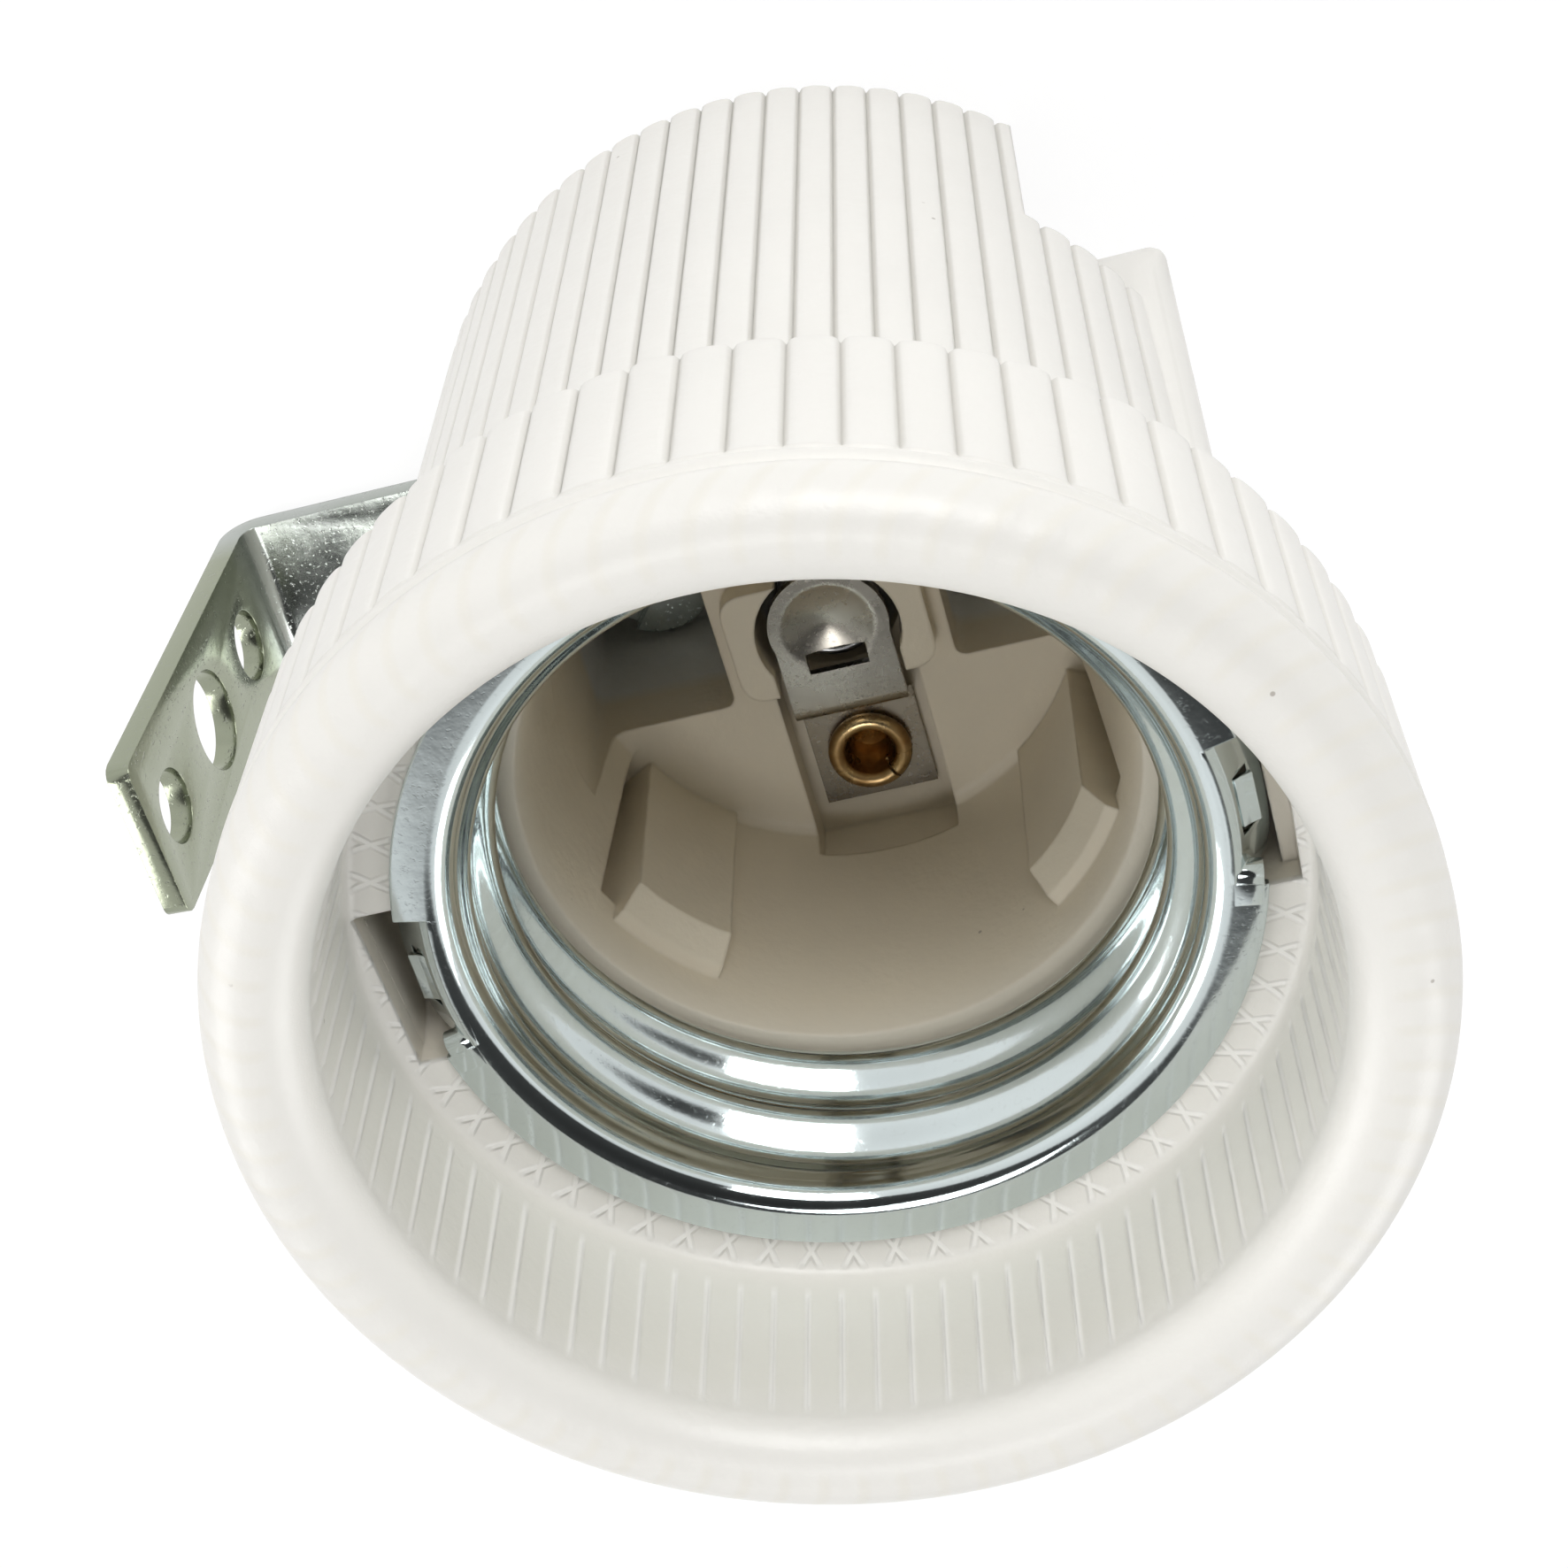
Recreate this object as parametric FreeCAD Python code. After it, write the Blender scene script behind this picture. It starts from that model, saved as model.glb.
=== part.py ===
"""Ceramic Edison-screw lamp holder with an L-shaped fixing bracket.

Millimetres. The origin is on the lamp axis, in the plane of the porcelain's rear face. +Z runs along
the lamp axis and out of the mouth, +X points at the bracket's leg, and +Y at the centre contact's rivet.
"""
import FreeCAD, Part
import math
import os

V = FreeCAD.Vector
X, Y, Z = V(1, 0, 0), V(0, 1, 0), V(0, 0, 1)
ORIGIN = V(0, 0, 0)

# ---- porcelain body: outside ----
REAR_R = 17.3             # rear section at the rear face
NECK_R = 17.8             # rear section where it meets the skirt
STEP_Z = 33.6             # rear edge of the skirt
SKIRT_REAR_R = 20.74
SKIRT_FRONT_R = 20.9
RIB_END_Z = 42.1          # the ribs stop here, behind the lip
RIM_PROUD = 0.05          # plain band behind the lip, beyond the ribs
LIP_Z = 45.4
REAR_RIBS = 76
SKIRT_RIBS = 73
RIB_DEPTH = 0.25          # groove depth between two convex ribs
REAR_PHASE = 3.7          # azimuth of a groove, in degrees
SKIRT_PHASE = 2.8
REAR_EDGE_CHAMFER = 0.3

# ---- porcelain body: inside of the mouth ----
LEDGE_R = 17.1            # inner wall of the skirt, at the ledge
MOUTH_TAPER = 0.15        # how much wider the inner wall is at the lip
SEAT_Z = 28.0             # annular seat under the shell's sheared end
BORE_R = 11.7             # bore below the seat
FLOOR_R = 10.4            # bore at the floor
FLOOR_Z = 15.35
GUIDE_R = 10.1            # inner face of the two guide blocks
GUIDE_TOP_Z = 25.2
GUIDE_FROM, GUIDE_TO = 28.0, 53.0     # degrees from +X, and mirrored about the YZ plane
GUIDE_SLOT_DEG = 4.0      # relief beside each guide block
GUIDE_SLOPE_W = 0.9       # slope along the block's inner top edge
GUIDE_SLOPE_H = 1.0
GUIDE_ROOT = 0.7          # depth of block and relief in the bore wall

MOUTH_R = LEDGE_R + MOUTH_TAPER
RIM_R = SKIRT_FRONT_R + RIM_PROUD
LIP_ROUND = (RIM_R - MOUTH_R) / 2     # the lip is a full round

# ---- porcelain body: rear ----
WALL = 2.9                # wall around the terminal chambers
SLAB_REAR_Z = 10.7        # rear face of the floor slab, depth of the chambers
WEB_W = 9.8               # web along X that carries the bracket
CUTOUT_DEG = 49.0         # half angle of the wire cut-out, about -X
PAD_X = 16.5              # flat face of the pad at -X
PAD_W = 17.2
PAD_THICK = 3.6
PAD_REAR_Z = 3.6
PAD_ROUND = 1.5           # radius of the pad's upright edges
PAD_REAR_ROUND = 3.0

# ---- screw shell (E27 thread) ----
PITCH = 3.629
CREST_R = 12.18
ROOT_R = 13.3
SHEET = 0.35
SHELL_END_Z = 28.3
FLANGE_Z = 36.1           # front plane of the flange
FLANGE_R = 15.5
BEND = 0.65               # bend radius on the porcelain side
BEND_RELIEF = 0.45        # chamfer of the ledge that clears the bend
CREST_Z = 31.5            # height of a thread crest at azimuth 0
RUN_OUT = 1.4             # length over which the thread fades into the bend
SHELL_GAP = 0.25          # radial gap between thread root and porcelain
HALF_SECTIONS = 12        # steps of the thread's loft over half a turn
LINE_STEPS = 24           # steps of the thread's curve along the axis
LUG_DEG = 11.5            # half angle of each lug's notch and of its pocket
NOTCH_DEPTH = 1.25        # from the flange's edge to the notch's bottom
NOTCH_R = FLANGE_R - NOTCH_DEPTH
FLAP_W = 5.6              # flap bent down and outwards from the notch's bottom
FLAP_LENGTH = 2.4
FLAP_SLOPE = 55.0         # degrees below the flange
FLAP_ROOT = 0.2           # part of the flap's outline that lies in the flange
FLAP_WINDOW_W = 2.2
FLAP_WINDOW_FROM, FLAP_WINDOW_TO = 0.35, 0.95     # beyond the notch's bottom
CURL_R = 0.5
CURL_DEG = 10.6
CURL_BORE_R = 0.25
LUG_SIDE = 0.6            # pocket beside the flap
LUG_CLEAR = 0.17          # pocket beyond the flap's end, where the wall behind it is thin
LUG_BELOW = 3.1           # pocket below the flap's end
LUG_WALL = 0.4            # pocket's outer wall inside the skirt's inner wall
LUG_SHELF = 0.9           # floor of the pocket's shallow part above the step

# ---- centre contact ----
STRIP_T = 0.4
STRIP_W = 4.8
RIVET_Y = 7.1
FOOT_END = 2.3            # foot beyond the rivet's axis
FOOT_START_Y = 4.9        # where the foot bends up
RISER_RUN = 1.0
ARM_Z = 16.0              # top of the arm and of the head's rim
HEAD_R = 2.5
DISH_R = 1.9
DISH_DEPTH = 0.4
LANCE_W = 2.5
LANCE_Y = 1.1
LANCE_H = 0.9
LANCE_TAB_W = 1.8
LANCE_TAB_LEN = 0.8
GROOVE_W = 6.0            # floor groove that holds the strip
GROOVE_Z = 13.6
GROOVE_END_Y = 11.0
WELL_R = 3.0
WELL_FLOOR_Z = 6.0
BOSS_X = 8.2              # raised boss around the spring well
BOSS_Y = 5.0
BOSS_RISE = 1.2
BOSS_SLOT_W = 5.3         # the arm passes through the boss here
BOSS_ROUND = 1.0
SPRING_WIRE = 0.45
SPRING_MEAN_R = 1.9
SPRING_TURNS = 7
SPRING_GAP = 0.15         # left under the head, so that it is not preloaded as drawn

# ---- rivets ----
RIVET_R = 1.2
RIVET_HEAD_R = 2.0
RIVET_HEAD_H = 0.8
CLINCH_R = 1.75
CLINCH_H = 0.7
RIVET_BORE_R = 0.8
RIVET_BORE_DEPTH = 2.4
RIVET_CLEAR = 0.06

# ---- shell lead ----
LEAD_TOP_Z = 31.0
LEAD_GAP = 0.05           # between the lead and the thread root it is spot welded to
LEAD_SIDE = 0.35          # clearance of the lead in its groove
LEAD_BOSS_GAP = 0.6       # between the groove's inner end and the boss

# ---- terminals ----
PLATE_T = 1.0
PLATE_W = 6.0
PLATE_END_X = 2.4
PLATE_FAR_X = -8.7
WEB_GAP = 0.3             # between web and terminal plate
SCREW_X = -5.6
TERM_R = 1.75             # M3.5
TERM_CLEAR = 0.05
TERM_HEAD_R = 3.0
TERM_HEAD_H = 2.4
TERM_TIP_Z = 12.8
TERM_DIMPLE_CLEAR = 0.3
WASHER_T = 0.9
WASHER_W = 5.8
STACK_GAP = 0.02          # between clamped faces that belong to different bodies
SLOT_W = 0.8
SLOT_DEPTH = 1.0

# ---- bracket ----
STRAP_W = 7.35
STRAP_T = 1.0
STRAP_SIDE = 0.2          # clearance of the strap in its channel
STRAP_END_X = -11.0
STRAP_INSET = 1.4         # depth of the channel in the rear face
LEG_X = 26.35             # inner face of the leg, at the base
LEG_TILT = 4.8            # degrees, the leg leans outwards
LEG_TOP_Z = 21.3
LEG_BEND = 0.8
HOLE_SMALL_R = 1.6
HOLE_LARGE_R = 2.2
HOLE_LOW_Z = 5.5
HOLE_MID_Z = 11.8
HOLE_HIGH_Z = 18.5
LEG_CORNER = 0.6

# ---- bracket screws, in the two pockets of the floor ----
FIX_X = 7.8               # screws at +X and -X
FIX_R = 1.5               # M3
FIX_CLEAR = 0.05
FIX_HOLE_CLEAR = 0.25
FIX_HEAD_R = 2.7
FIX_HEAD_H = 2.0
FIX_TIP_Z = 0.2
POCKET_X = 6.2
POCKET_Y = 6.0
POCKET_FLOOR_Z = 5.4
LOCK_T = 0.8
LOCK_R = 2.65

BITE = 0.5                # how far an added block reaches into its neighbour
REACH = 1.0               # how far a cut runs out past the surface it opens
FAR = 60.0                # beyond everything


def box(x0, x1, y0, y1, z0, z1):
    return Part.makeBox(x1 - x0, y1 - y0, z1 - z0, V(x0, y0, z0))


def rod(r, z0, z1, x=0.0, y=0.0):
    return Part.makeCylinder(r, z1 - z0, V(x, y, z0))


def revolve(points, start=0.0, sweep=360.0):
    """Solid of revolution from (radius, z) points, turned about the lamp axis."""
    wire = Part.makePolygon([V(r, 0, z) for r, z in points + points[:1]])
    solid = Part.Face(wire).revolve(ORIGIN, Z, sweep)
    solid.rotate(ORIGIN, Z, start)
    return solid


def polar(r, degrees, z=0.0):
    a = math.radians(degrees)
    return V(r * math.cos(a), r * math.sin(a), z)


def mirror_x(shape):
    return shape.mirror(ORIGIN, X)


def mirror_y(shape):
    return shape.mirror(ORIGIN, Y)


def rounded_block(x0, x1, y0, y1, z0, z1, radius):
    """Box with its four upright edges rounded."""
    solid = box(x0, x1, y0, y1, z0, z1)
    upright = [e for e in solid.Edges if abs(e.tangentAt(e.FirstParameter).z) > 0.99]
    return solid.makeFillet(radius, upright)


# ---------------------------------------------------------------- porcelain body

def ribbed_wire(radius, z, count, phase):
    """Closed outline of `count` convex ribs with a cusped groove between neighbours."""
    arcs = []
    step = 360.0 / count
    for i in range(count):
        a, mid, b = phase + i * step, phase + (i + 0.5) * step, phase + (i + 1) * step
        arcs.append(Part.Arc(polar(radius - RIB_DEPTH, a, z), polar(radius, mid, z),
                             polar(radius - RIB_DEPTH, b, z)).toShape())
    return Part.Wire(arcs)


def ribbed_zone(r0, z0, r1, z1, count, phase):
    return Part.makeLoft([ribbed_wire(r0, z0, count, phase), ribbed_wire(r1, z1, count, phase)], True, True)


def lip_ring():
    """Plain band behind the lip, and the lip, rounded from the band to the inner wall."""
    band = SKIRT_FRONT_R - RIB_DEPTH
    round_z = LIP_Z - LIP_ROUND
    outer, inner = V(RIM_R, 0, round_z), V(MOUTH_R, 0, round_z)
    crown = V((RIM_R + MOUTH_R) / 2, 0, LIP_Z)
    start = V(0, 0, RIB_END_Z)
    points = [inner, V(0, 0, round_z), start, V(band, 0, RIB_END_Z),
              V(RIM_R, 0, RIB_END_Z + BITE), outer]
    edges = [Part.makeLine(a, b) for a, b in zip(points, points[1:])]
    edges.append(Part.Arc(outer, crown, inner).toShape())
    return Part.Face(Part.Wire(edges)).revolve(ORIGIN, Z, 360)


def mouth():
    """Everything a lamp cap and the screw shell need: skirt, shell seat and bore."""
    shell_r = ROOT_R + SHEET + SHELL_GAP
    ledge_z = FLANGE_Z - SHEET
    return revolve([(0, FLOOR_Z), (FLOOR_R, FLOOR_Z), (BORE_R, SEAT_Z), (shell_r, SEAT_Z),
                    (shell_r, ledge_z - BEND_RELIEF), (shell_r + BEND_RELIEF, ledge_z), (LEDGE_R, ledge_z),
                    (MOUTH_R, LIP_Z - LIP_ROUND), (MOUTH_R, FAR), (0, FAR)])


def flap_end():
    """Distance from the axis and height of the free end of the shell's flaps."""
    slope = math.radians(FLAP_SLOPE)
    return NOTCH_R + FLAP_LENGTH * math.cos(slope), FLANGE_Z - FLAP_LENGTH * math.sin(slope)


def lug_pocket(deep_x):
    """Pocket in the ledge for one of the shell's flaps; only its shallow part goes out past deep_x."""
    top = FLANGE_Z - SHEET + REACH
    half = FLAP_W / 2 + LUG_SIDE
    inner_x = ROOT_R + SHEET
    deep = box(inner_x, deep_x, -half, half, flap_end()[1] - LUG_BELOW, top)
    return deep.fuse(box(inner_x, LEDGE_R - LUG_WALL, -half, half, STEP_Z + LUG_SHELF, top))


def guide_block():
    """Upright block on the bore wall, with a sloping top."""
    root = BORE_R + GUIDE_ROOT
    return revolve([(GUIDE_R, FLOOR_Z - BITE), (GUIDE_R, GUIDE_TOP_Z - GUIDE_SLOPE_H),
                    (GUIDE_R + GUIDE_SLOPE_W, GUIDE_TOP_Z), (root, GUIDE_TOP_Z + GUIDE_SLOPE_H / 2),
                    (root, FLOOR_Z - BITE)], GUIDE_FROM, GUIDE_TO - GUIDE_FROM)


def guide_slot():
    root = BORE_R + GUIDE_ROOT
    top = GUIDE_TOP_Z - GUIDE_SLOPE_H / 2
    return revolve([(GUIDE_R, FLOOR_Z), (GUIDE_R, top), (root, top), (root, FLOOR_Z)],
                   GUIDE_FROM - GUIDE_SLOT_DEG, GUIDE_SLOT_DEG)


def floor_boss():
    return rounded_block(-BOSS_X / 2, BOSS_X / 2, -BOSS_Y / 2, BOSS_Y / 2, FLOOR_Z - BITE,
                         FLOOR_Z + BOSS_RISE, BOSS_ROUND)


def strip_groove():
    """Groove in the floor for the centre contact, with its slot through the boss."""
    groove = box(-GROOVE_W / 2, GROOVE_W / 2, BOSS_Y / 2, GROOVE_END_Y, GROOVE_Z, FLOOR_Z + BOSS_RISE)
    slot = box(-BOSS_SLOT_W / 2, BOSS_SLOT_W / 2, 0, BOSS_Y / 2 + BITE, GROOVE_Z, FLOOR_Z + 2 * BOSS_RISE)
    return groove.fuse(slot)


def lead_outer_y():
    """Outer face of the shell lead's upright leg, on the -Y side."""
    return ROOT_R + SHEET + LEAD_GAP + STRIP_T


def lead_groove():
    half = STRIP_W / 2 + LEAD_SIDE
    floor = box(-half, half, -lead_outer_y() - LEAD_SIDE, -BOSS_Y / 2 - LEAD_BOSS_GAP, GROOVE_Z,
                FLOOR_Z + BITE)
    upright = box(-half, half, -lead_outer_y() - LEAD_SIDE, -FLOOR_R + REACH, GROOVE_Z, LEAD_TOP_Z + BITE)
    return floor.fuse(upright)


def bracket_pocket():
    return box(FIX_X - POCKET_X / 2, FIX_X + POCKET_X / 2, -POCKET_Y / 2, POCKET_Y / 2,
               POCKET_FLOOR_Z, FLOOR_Z + BOSS_RISE)


def web():
    return box(-PAD_X, FAR, -WEB_W / 2, WEB_W / 2, -REACH, SLAB_REAR_Z)


def chambers():
    """The two terminal chambers, either side of the web, and the wire cut-out towards -X."""
    round_part = rod(REAR_R - WALL, -REACH, SLAB_REAR_Z)
    cutout = revolve([(0, -REACH), (FAR, -REACH), (FAR, SLAB_REAR_Z), (0, SLAB_REAR_Z)],
                     180 - CUTOUT_DEG, 2 * CUTOUT_DEG)
    return round_part.fuse(cutout).cut(web())


def behind_pad():
    """Open space behind the flat pad and past the web's end; the pad fills its front part again."""
    return box(-FAR, -PAD_X + PAD_THICK, -WEB_W, WEB_W, -REACH, PAD_REAR_Z + PAD_REAR_ROUND)


def pad():
    """Flat block on the -X side, well rounded at the rear and less at its upright edges."""
    solid = box(-PAD_X, -PAD_X + PAD_THICK, -PAD_W / 2, PAD_W / 2, PAD_REAR_Z, STEP_Z + BITE)

    def face_edges(shape, keep):
        return [e for e in shape.Edges if e.CenterOfMass.x < -PAD_X + PAD_THICK / 2
                and e.CenterOfMass.z < STEP_Z and keep(e.CenterOfMass)]

    solid = solid.makeFillet(PAD_REAR_ROUND, face_edges(solid, lambda c: abs(c.z - PAD_REAR_Z) < 1e-6
                                                        and abs(c.x + PAD_X) < 1e-6))
    return solid.makeFillet(PAD_ROUND, face_edges(solid, lambda c: abs(c.x + PAD_X) < 1e-6
                                                  and abs(abs(c.y) - PAD_W / 2) < 1e-6))


def pad_flat():
    """What stands proud of the pad's flat face on the rear section."""
    return box(-FAR, -PAD_X, -PAD_W / 2 + PAD_ROUND, PAD_W / 2 - PAD_ROUND, -REACH, STEP_Z)


def strap_channel():
    half = STRAP_W / 2 + STRAP_SIDE
    return box(STRAP_END_X - STRAP_SIDE, FAR, -half, half, -REACH, STRAP_INSET)


def rear_edge_cut():
    return revolve([(REAR_R - REAR_EDGE_CHAMFER, 0), (REAR_R + 2, -REAR_EDGE_CHAMFER - 1),
                    (REAR_R + 2, REAR_EDGE_CHAMFER + 1.4)])


def screw_holes():
    """Rivet holes, dimples for the terminal screws and holes for the bracket screws."""
    tools = []
    for side in (1, -1):
        tools.append(rod(RIVET_R + RIVET_CLEAR, SLAB_REAR_Z - 1, GROOVE_Z + 1, 0, side * RIVET_Y))
        tools.append(rod(TERM_R + TERM_DIMPLE_CLEAR, SLAB_REAR_Z - 1, TERM_TIP_Z + TERM_DIMPLE_CLEAR,
                         SCREW_X, side * screw_y()))
        tools.append(rod(FIX_R + FIX_HOLE_CLEAR, 0, POCKET_FLOOR_Z + 1, side * FIX_X, 0))
    return tools


def porcelain_body():
    body = ribbed_zone(REAR_R, 0, NECK_R, STEP_Z, REAR_RIBS, REAR_PHASE)
    body = body.cut(rear_edge_cut()).cut(pad_flat())
    skirt = ribbed_zone(SKIRT_REAR_R, STEP_Z, SKIRT_FRONT_R, RIB_END_Z, SKIRT_RIBS, SKIRT_PHASE)
    body = body.fuse([skirt, lip_ring()])
    body = body.cut(chambers().fuse(behind_pad()))
    body = body.fuse(pad()).cut(mouth())
    body = body.fuse([guide_block(), mirror_x(guide_block()), floor_boss()])
    pad_side_pocket = mirror_x(lug_pocket(flap_end()[0] + LUG_CLEAR))
    cuts = [guide_slot(), mirror_x(guide_slot()), strip_groove(), lead_groove(), bracket_pocket(),
            mirror_x(bracket_pocket()), lug_pocket(LEDGE_R - LUG_WALL), pad_side_pocket, strap_channel(),
            rod(WELL_R, WELL_FLOOR_Z, FLOOR_Z + 2 * BOSS_RISE)] + screw_holes()
    return body.cut(cuts)


# ---------------------------------------------------------------- screw shell

def thread_radius(angle, z):
    """Rounded Edison thread that fades to its root radius below the flange."""
    mean, swing = (ROOT_R + CREST_R) / 2, (ROOT_R - CREST_R) / 2
    fade = min(1.0, max(0.0, (thread_top() - z) / RUN_OUT))
    fade = fade * fade * (3 - 2 * fade)
    wave = mean - swing * math.cos(2 * math.pi * (z - CREST_Z) / PITCH - angle)
    return ROOT_R + (wave - ROOT_R) * fade


def thread_top():
    return FLANGE_Z - SHEET - BEND


def thread_line(angle, offset):
    """Axial line of the thread at one angle, moved outwards by `offset` along its normal."""
    points = []
    tiny = 1e-4
    for j in range(LINE_STEPS + 1):
        z = SHELL_END_Z + (thread_top() - SHELL_END_Z) * j / LINE_STEPS
        slope = (thread_radius(angle, z + tiny) - thread_radius(angle, z - tiny)) / (2 * tiny)
        if j in (0, LINE_STEPS):
            slope = 0.0
        stretch = math.hypot(1, slope)
        r = thread_radius(angle, z) + offset / stretch
        points.append(V(r * math.cos(angle), r * math.sin(angle), z - offset * slope / stretch))
    curve = Part.BSplineCurve()
    curve.interpolate(points)
    return curve.toShape(), points


def shell_section(angle):
    """Closed axial section of shell and flange at one angle."""
    inner, a = thread_line(angle, 0)
    outer, b = thread_line(angle, SHEET)
    c = math.cos(math.radians(45))
    centre_r, centre_z = ROOT_R + SHEET + BEND, thread_top()
    deg = math.degrees(angle)

    def on_bend(radius, share_r, share_z):
        return polar(centre_r - radius * share_r, deg, centre_z + radius * share_z)

    top_in, top_out = polar(FLANGE_R, deg, FLANGE_Z), polar(FLANGE_R, deg, FLANGE_Z - SHEET)
    front, back = on_bend(BEND + SHEET, 0, 1), on_bend(BEND, 0, 1)
    return Part.Wire([
        inner,
        Part.Arc(a[-1], on_bend(BEND + SHEET, c, c), front).toShape(),
        Part.makeLine(front, top_in),
        Part.makeLine(top_in, top_out),
        Part.makeLine(top_out, back),
        Part.Arc(back, on_bend(BEND, c, c), b[-1]).toShape(),
        outer,
        Part.makeLine(b[0], a[0])])


def thread_sheet():
    """Shell without its lugs, lofted in two halves from its axial sections."""
    halves = []
    for k in range(2):
        wires = [shell_section(math.pi * (k + i / HALF_SECTIONS)) for i in range(HALF_SECTIONS + 1)]
        halves.append(Part.makeLoft(wires, True, False))
    return halves[0].fuse(halves[1])


def lug_notch():
    bottom, edge = NOTCH_R + SHEET / 2, FLANGE_R + REACH
    return revolve([(bottom, FLANGE_Z - REACH), (edge, FLANGE_Z - REACH), (edge, FLANGE_Z + REACH),
                    (bottom, FLANGE_Z + REACH)], -LUG_DEG, 2 * LUG_DEG)


def lug_flap():
    """Flap that slopes down into the pocket from the notch's bottom, with its window."""
    flap = strip_from_path([flap_end(), (NOTCH_R, FLANGE_Z), (NOTCH_R - FLAP_ROOT, FLANGE_Z)], FLAP_W, SHEET)
    flap.rotate(ORIGIN, Z, -90)
    window = box(NOTCH_R + FLAP_WINDOW_FROM, NOTCH_R + FLAP_WINDOW_TO, -FLAP_WINDOW_W / 2,
                 FLAP_WINDOW_W / 2, FLANGE_Z - 2 * FLAP_LENGTH, FLANGE_Z - BITE / 2)
    return flap.cut(window)


def lug_curl():
    """Rolled corner at the +Y end of the notch, its axis radial."""
    centre_z = FLANGE_Z - CURL_R
    length = FLANGE_R - NOTCH_R
    roll = Part.makeCylinder(CURL_R, length, V(NOTCH_R, 0, centre_z), X)
    hole = Part.makeCylinder(CURL_BORE_R, length + REACH, V(NOTCH_R + SHEET, 0, centre_z), X)
    link = box(NOTCH_R, FLANGE_R - SHEET, 0, 2 * CURL_R, FLANGE_Z - SHEET, FLANGE_Z)
    curl = roll.fuse(link).cut(hole)
    curl.rotate(ORIGIN, Z, CURL_DEG)
    return curl


def screw_shell():
    shell = thread_sheet().cut([lug_notch(), mirror_x(lug_notch())])
    lug = lug_flap().fuse(lug_curl())
    return shell.fuse([lug, mirror_x(lug)])


# ---------------------------------------------------------------- contacts

def strip_from_path(points, width, thickness):
    """Sheet strip across X from (y, z) points on one face; the sheet lies on the left of the path."""
    offset = []
    for i, (y, z) in enumerate(points):
        normals = []
        if i > 0:
            normals.append((y - points[i - 1][0], z - points[i - 1][1]))
        if i < len(points) - 1:
            normals.append((points[i + 1][0] - y, points[i + 1][1] - z))
        units = [(-dz / math.hypot(dy, dz), dy / math.hypot(dy, dz)) for dy, dz in normals]
        ny, nz = sum(u[0] for u in units), sum(u[1] for u in units)
        scale = len(units) * thickness / (ny * ny + nz * nz)
        offset.append((y + ny * scale, z + nz * scale))
    outline = points + offset[::-1]
    wire = Part.makePolygon([V(-width / 2, y, z) for y, z in outline + outline[:1]])
    return Part.Face(wire).extrude(V(width, 0, 0))


def contact_head():
    """Round head on the lamp axis, with a spherical dish of even thickness."""
    ball = (DISH_R ** 2 + DISH_DEPTH ** 2) / (2 * DISH_DEPTH)
    centre_z = ARM_Z - DISH_DEPTH + ball
    under = ARM_Z - STRIP_T
    plate = rod(HEAD_R, under - DISH_DEPTH, ARM_Z)
    skin = plate.common(Part.makeSphere(ball + STRIP_T, V(0, 0, centre_z)))
    rim = rod(HEAD_R, under, ARM_Z)
    return rim.fuse(skin).cut(Part.makeSphere(ball, V(0, 0, centre_z)))


def contact_strip():
    foot_top = GROOVE_Z + STRIP_T
    path = [(0, ARM_Z), (FOOT_START_Y - RISER_RUN, ARM_Z), (FOOT_START_Y, foot_top),
            (RIVET_Y + FOOT_END, foot_top)]
    strip = strip_from_path(path[::-1], STRIP_W, STRIP_T)
    strip = strip.cut(rod(DISH_R, GROOVE_Z, ARM_Z + REACH)).fuse(contact_head())
    strip = strip.cut([box(-LANCE_W / 2, LANCE_W / 2, LANCE_Y, LANCE_Y + LANCE_H, GROOVE_Z, ARM_Z + REACH),
                       rod(RIVET_R + RIVET_CLEAR, GROOVE_Z - REACH, ARM_Z + REACH, 0, RIVET_Y)])
    tab = box(-LANCE_TAB_W / 2, LANCE_TAB_W / 2, LANCE_Y - STRIP_T, LANCE_Y,
              ARM_Z - STRIP_T - LANCE_TAB_LEN, ARM_Z - STRIP_T)
    return strip.fuse(tab)


def contact_spring():
    under = ARM_Z - STRIP_T - SPRING_GAP
    low = WELL_FLOOR_Z + SPRING_WIRE / 2
    height = under - SPRING_WIRE - WELL_FLOOR_Z - DISH_DEPTH * (1 - (SPRING_MEAN_R / DISH_R) ** 2)
    helix = Part.makeHelix(height / SPRING_TURNS, height, SPRING_MEAN_R)
    section = Part.Wire(Part.makeCircle(SPRING_WIRE / 2, V(SPRING_MEAN_R, 0, 0), Y))
    coil = Part.Wire(helix).makePipeShell([section], True, True)
    coil.translate(V(0, 0, low))
    return coil


def rivet(side):
    """Semi-tubular rivet: head behind the terminal plate, clinched ring on the strip."""
    head_z = SLAB_REAR_Z - PLATE_T
    ring_z = GROOVE_Z + STRIP_T
    top = ring_z + CLINCH_H
    solid = rod(RIVET_HEAD_R, head_z - RIVET_HEAD_H, head_z).fuse(
        [rod(RIVET_R, head_z, ring_z), rod(CLINCH_R, ring_z, top)])
    solid = solid.makeFillet(CLINCH_H * 0.45, [e for e in solid.Edges if abs(e.CenterOfMass.z - top) < 1e-6
                                               and abs(e.Length - 2 * math.pi * CLINCH_R) < 1e-3])
    bore = rod(RIVET_BORE_R, top - RIVET_BORE_DEPTH, top + 1)
    cone = Part.makeCone(0, RIVET_BORE_R, RIVET_BORE_R, V(0, 0, top - RIVET_BORE_DEPTH - RIVET_BORE_R))
    solid = solid.cut([bore, cone])
    solid.translate(V(0, side * RIVET_Y, 0))
    return solid


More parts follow.
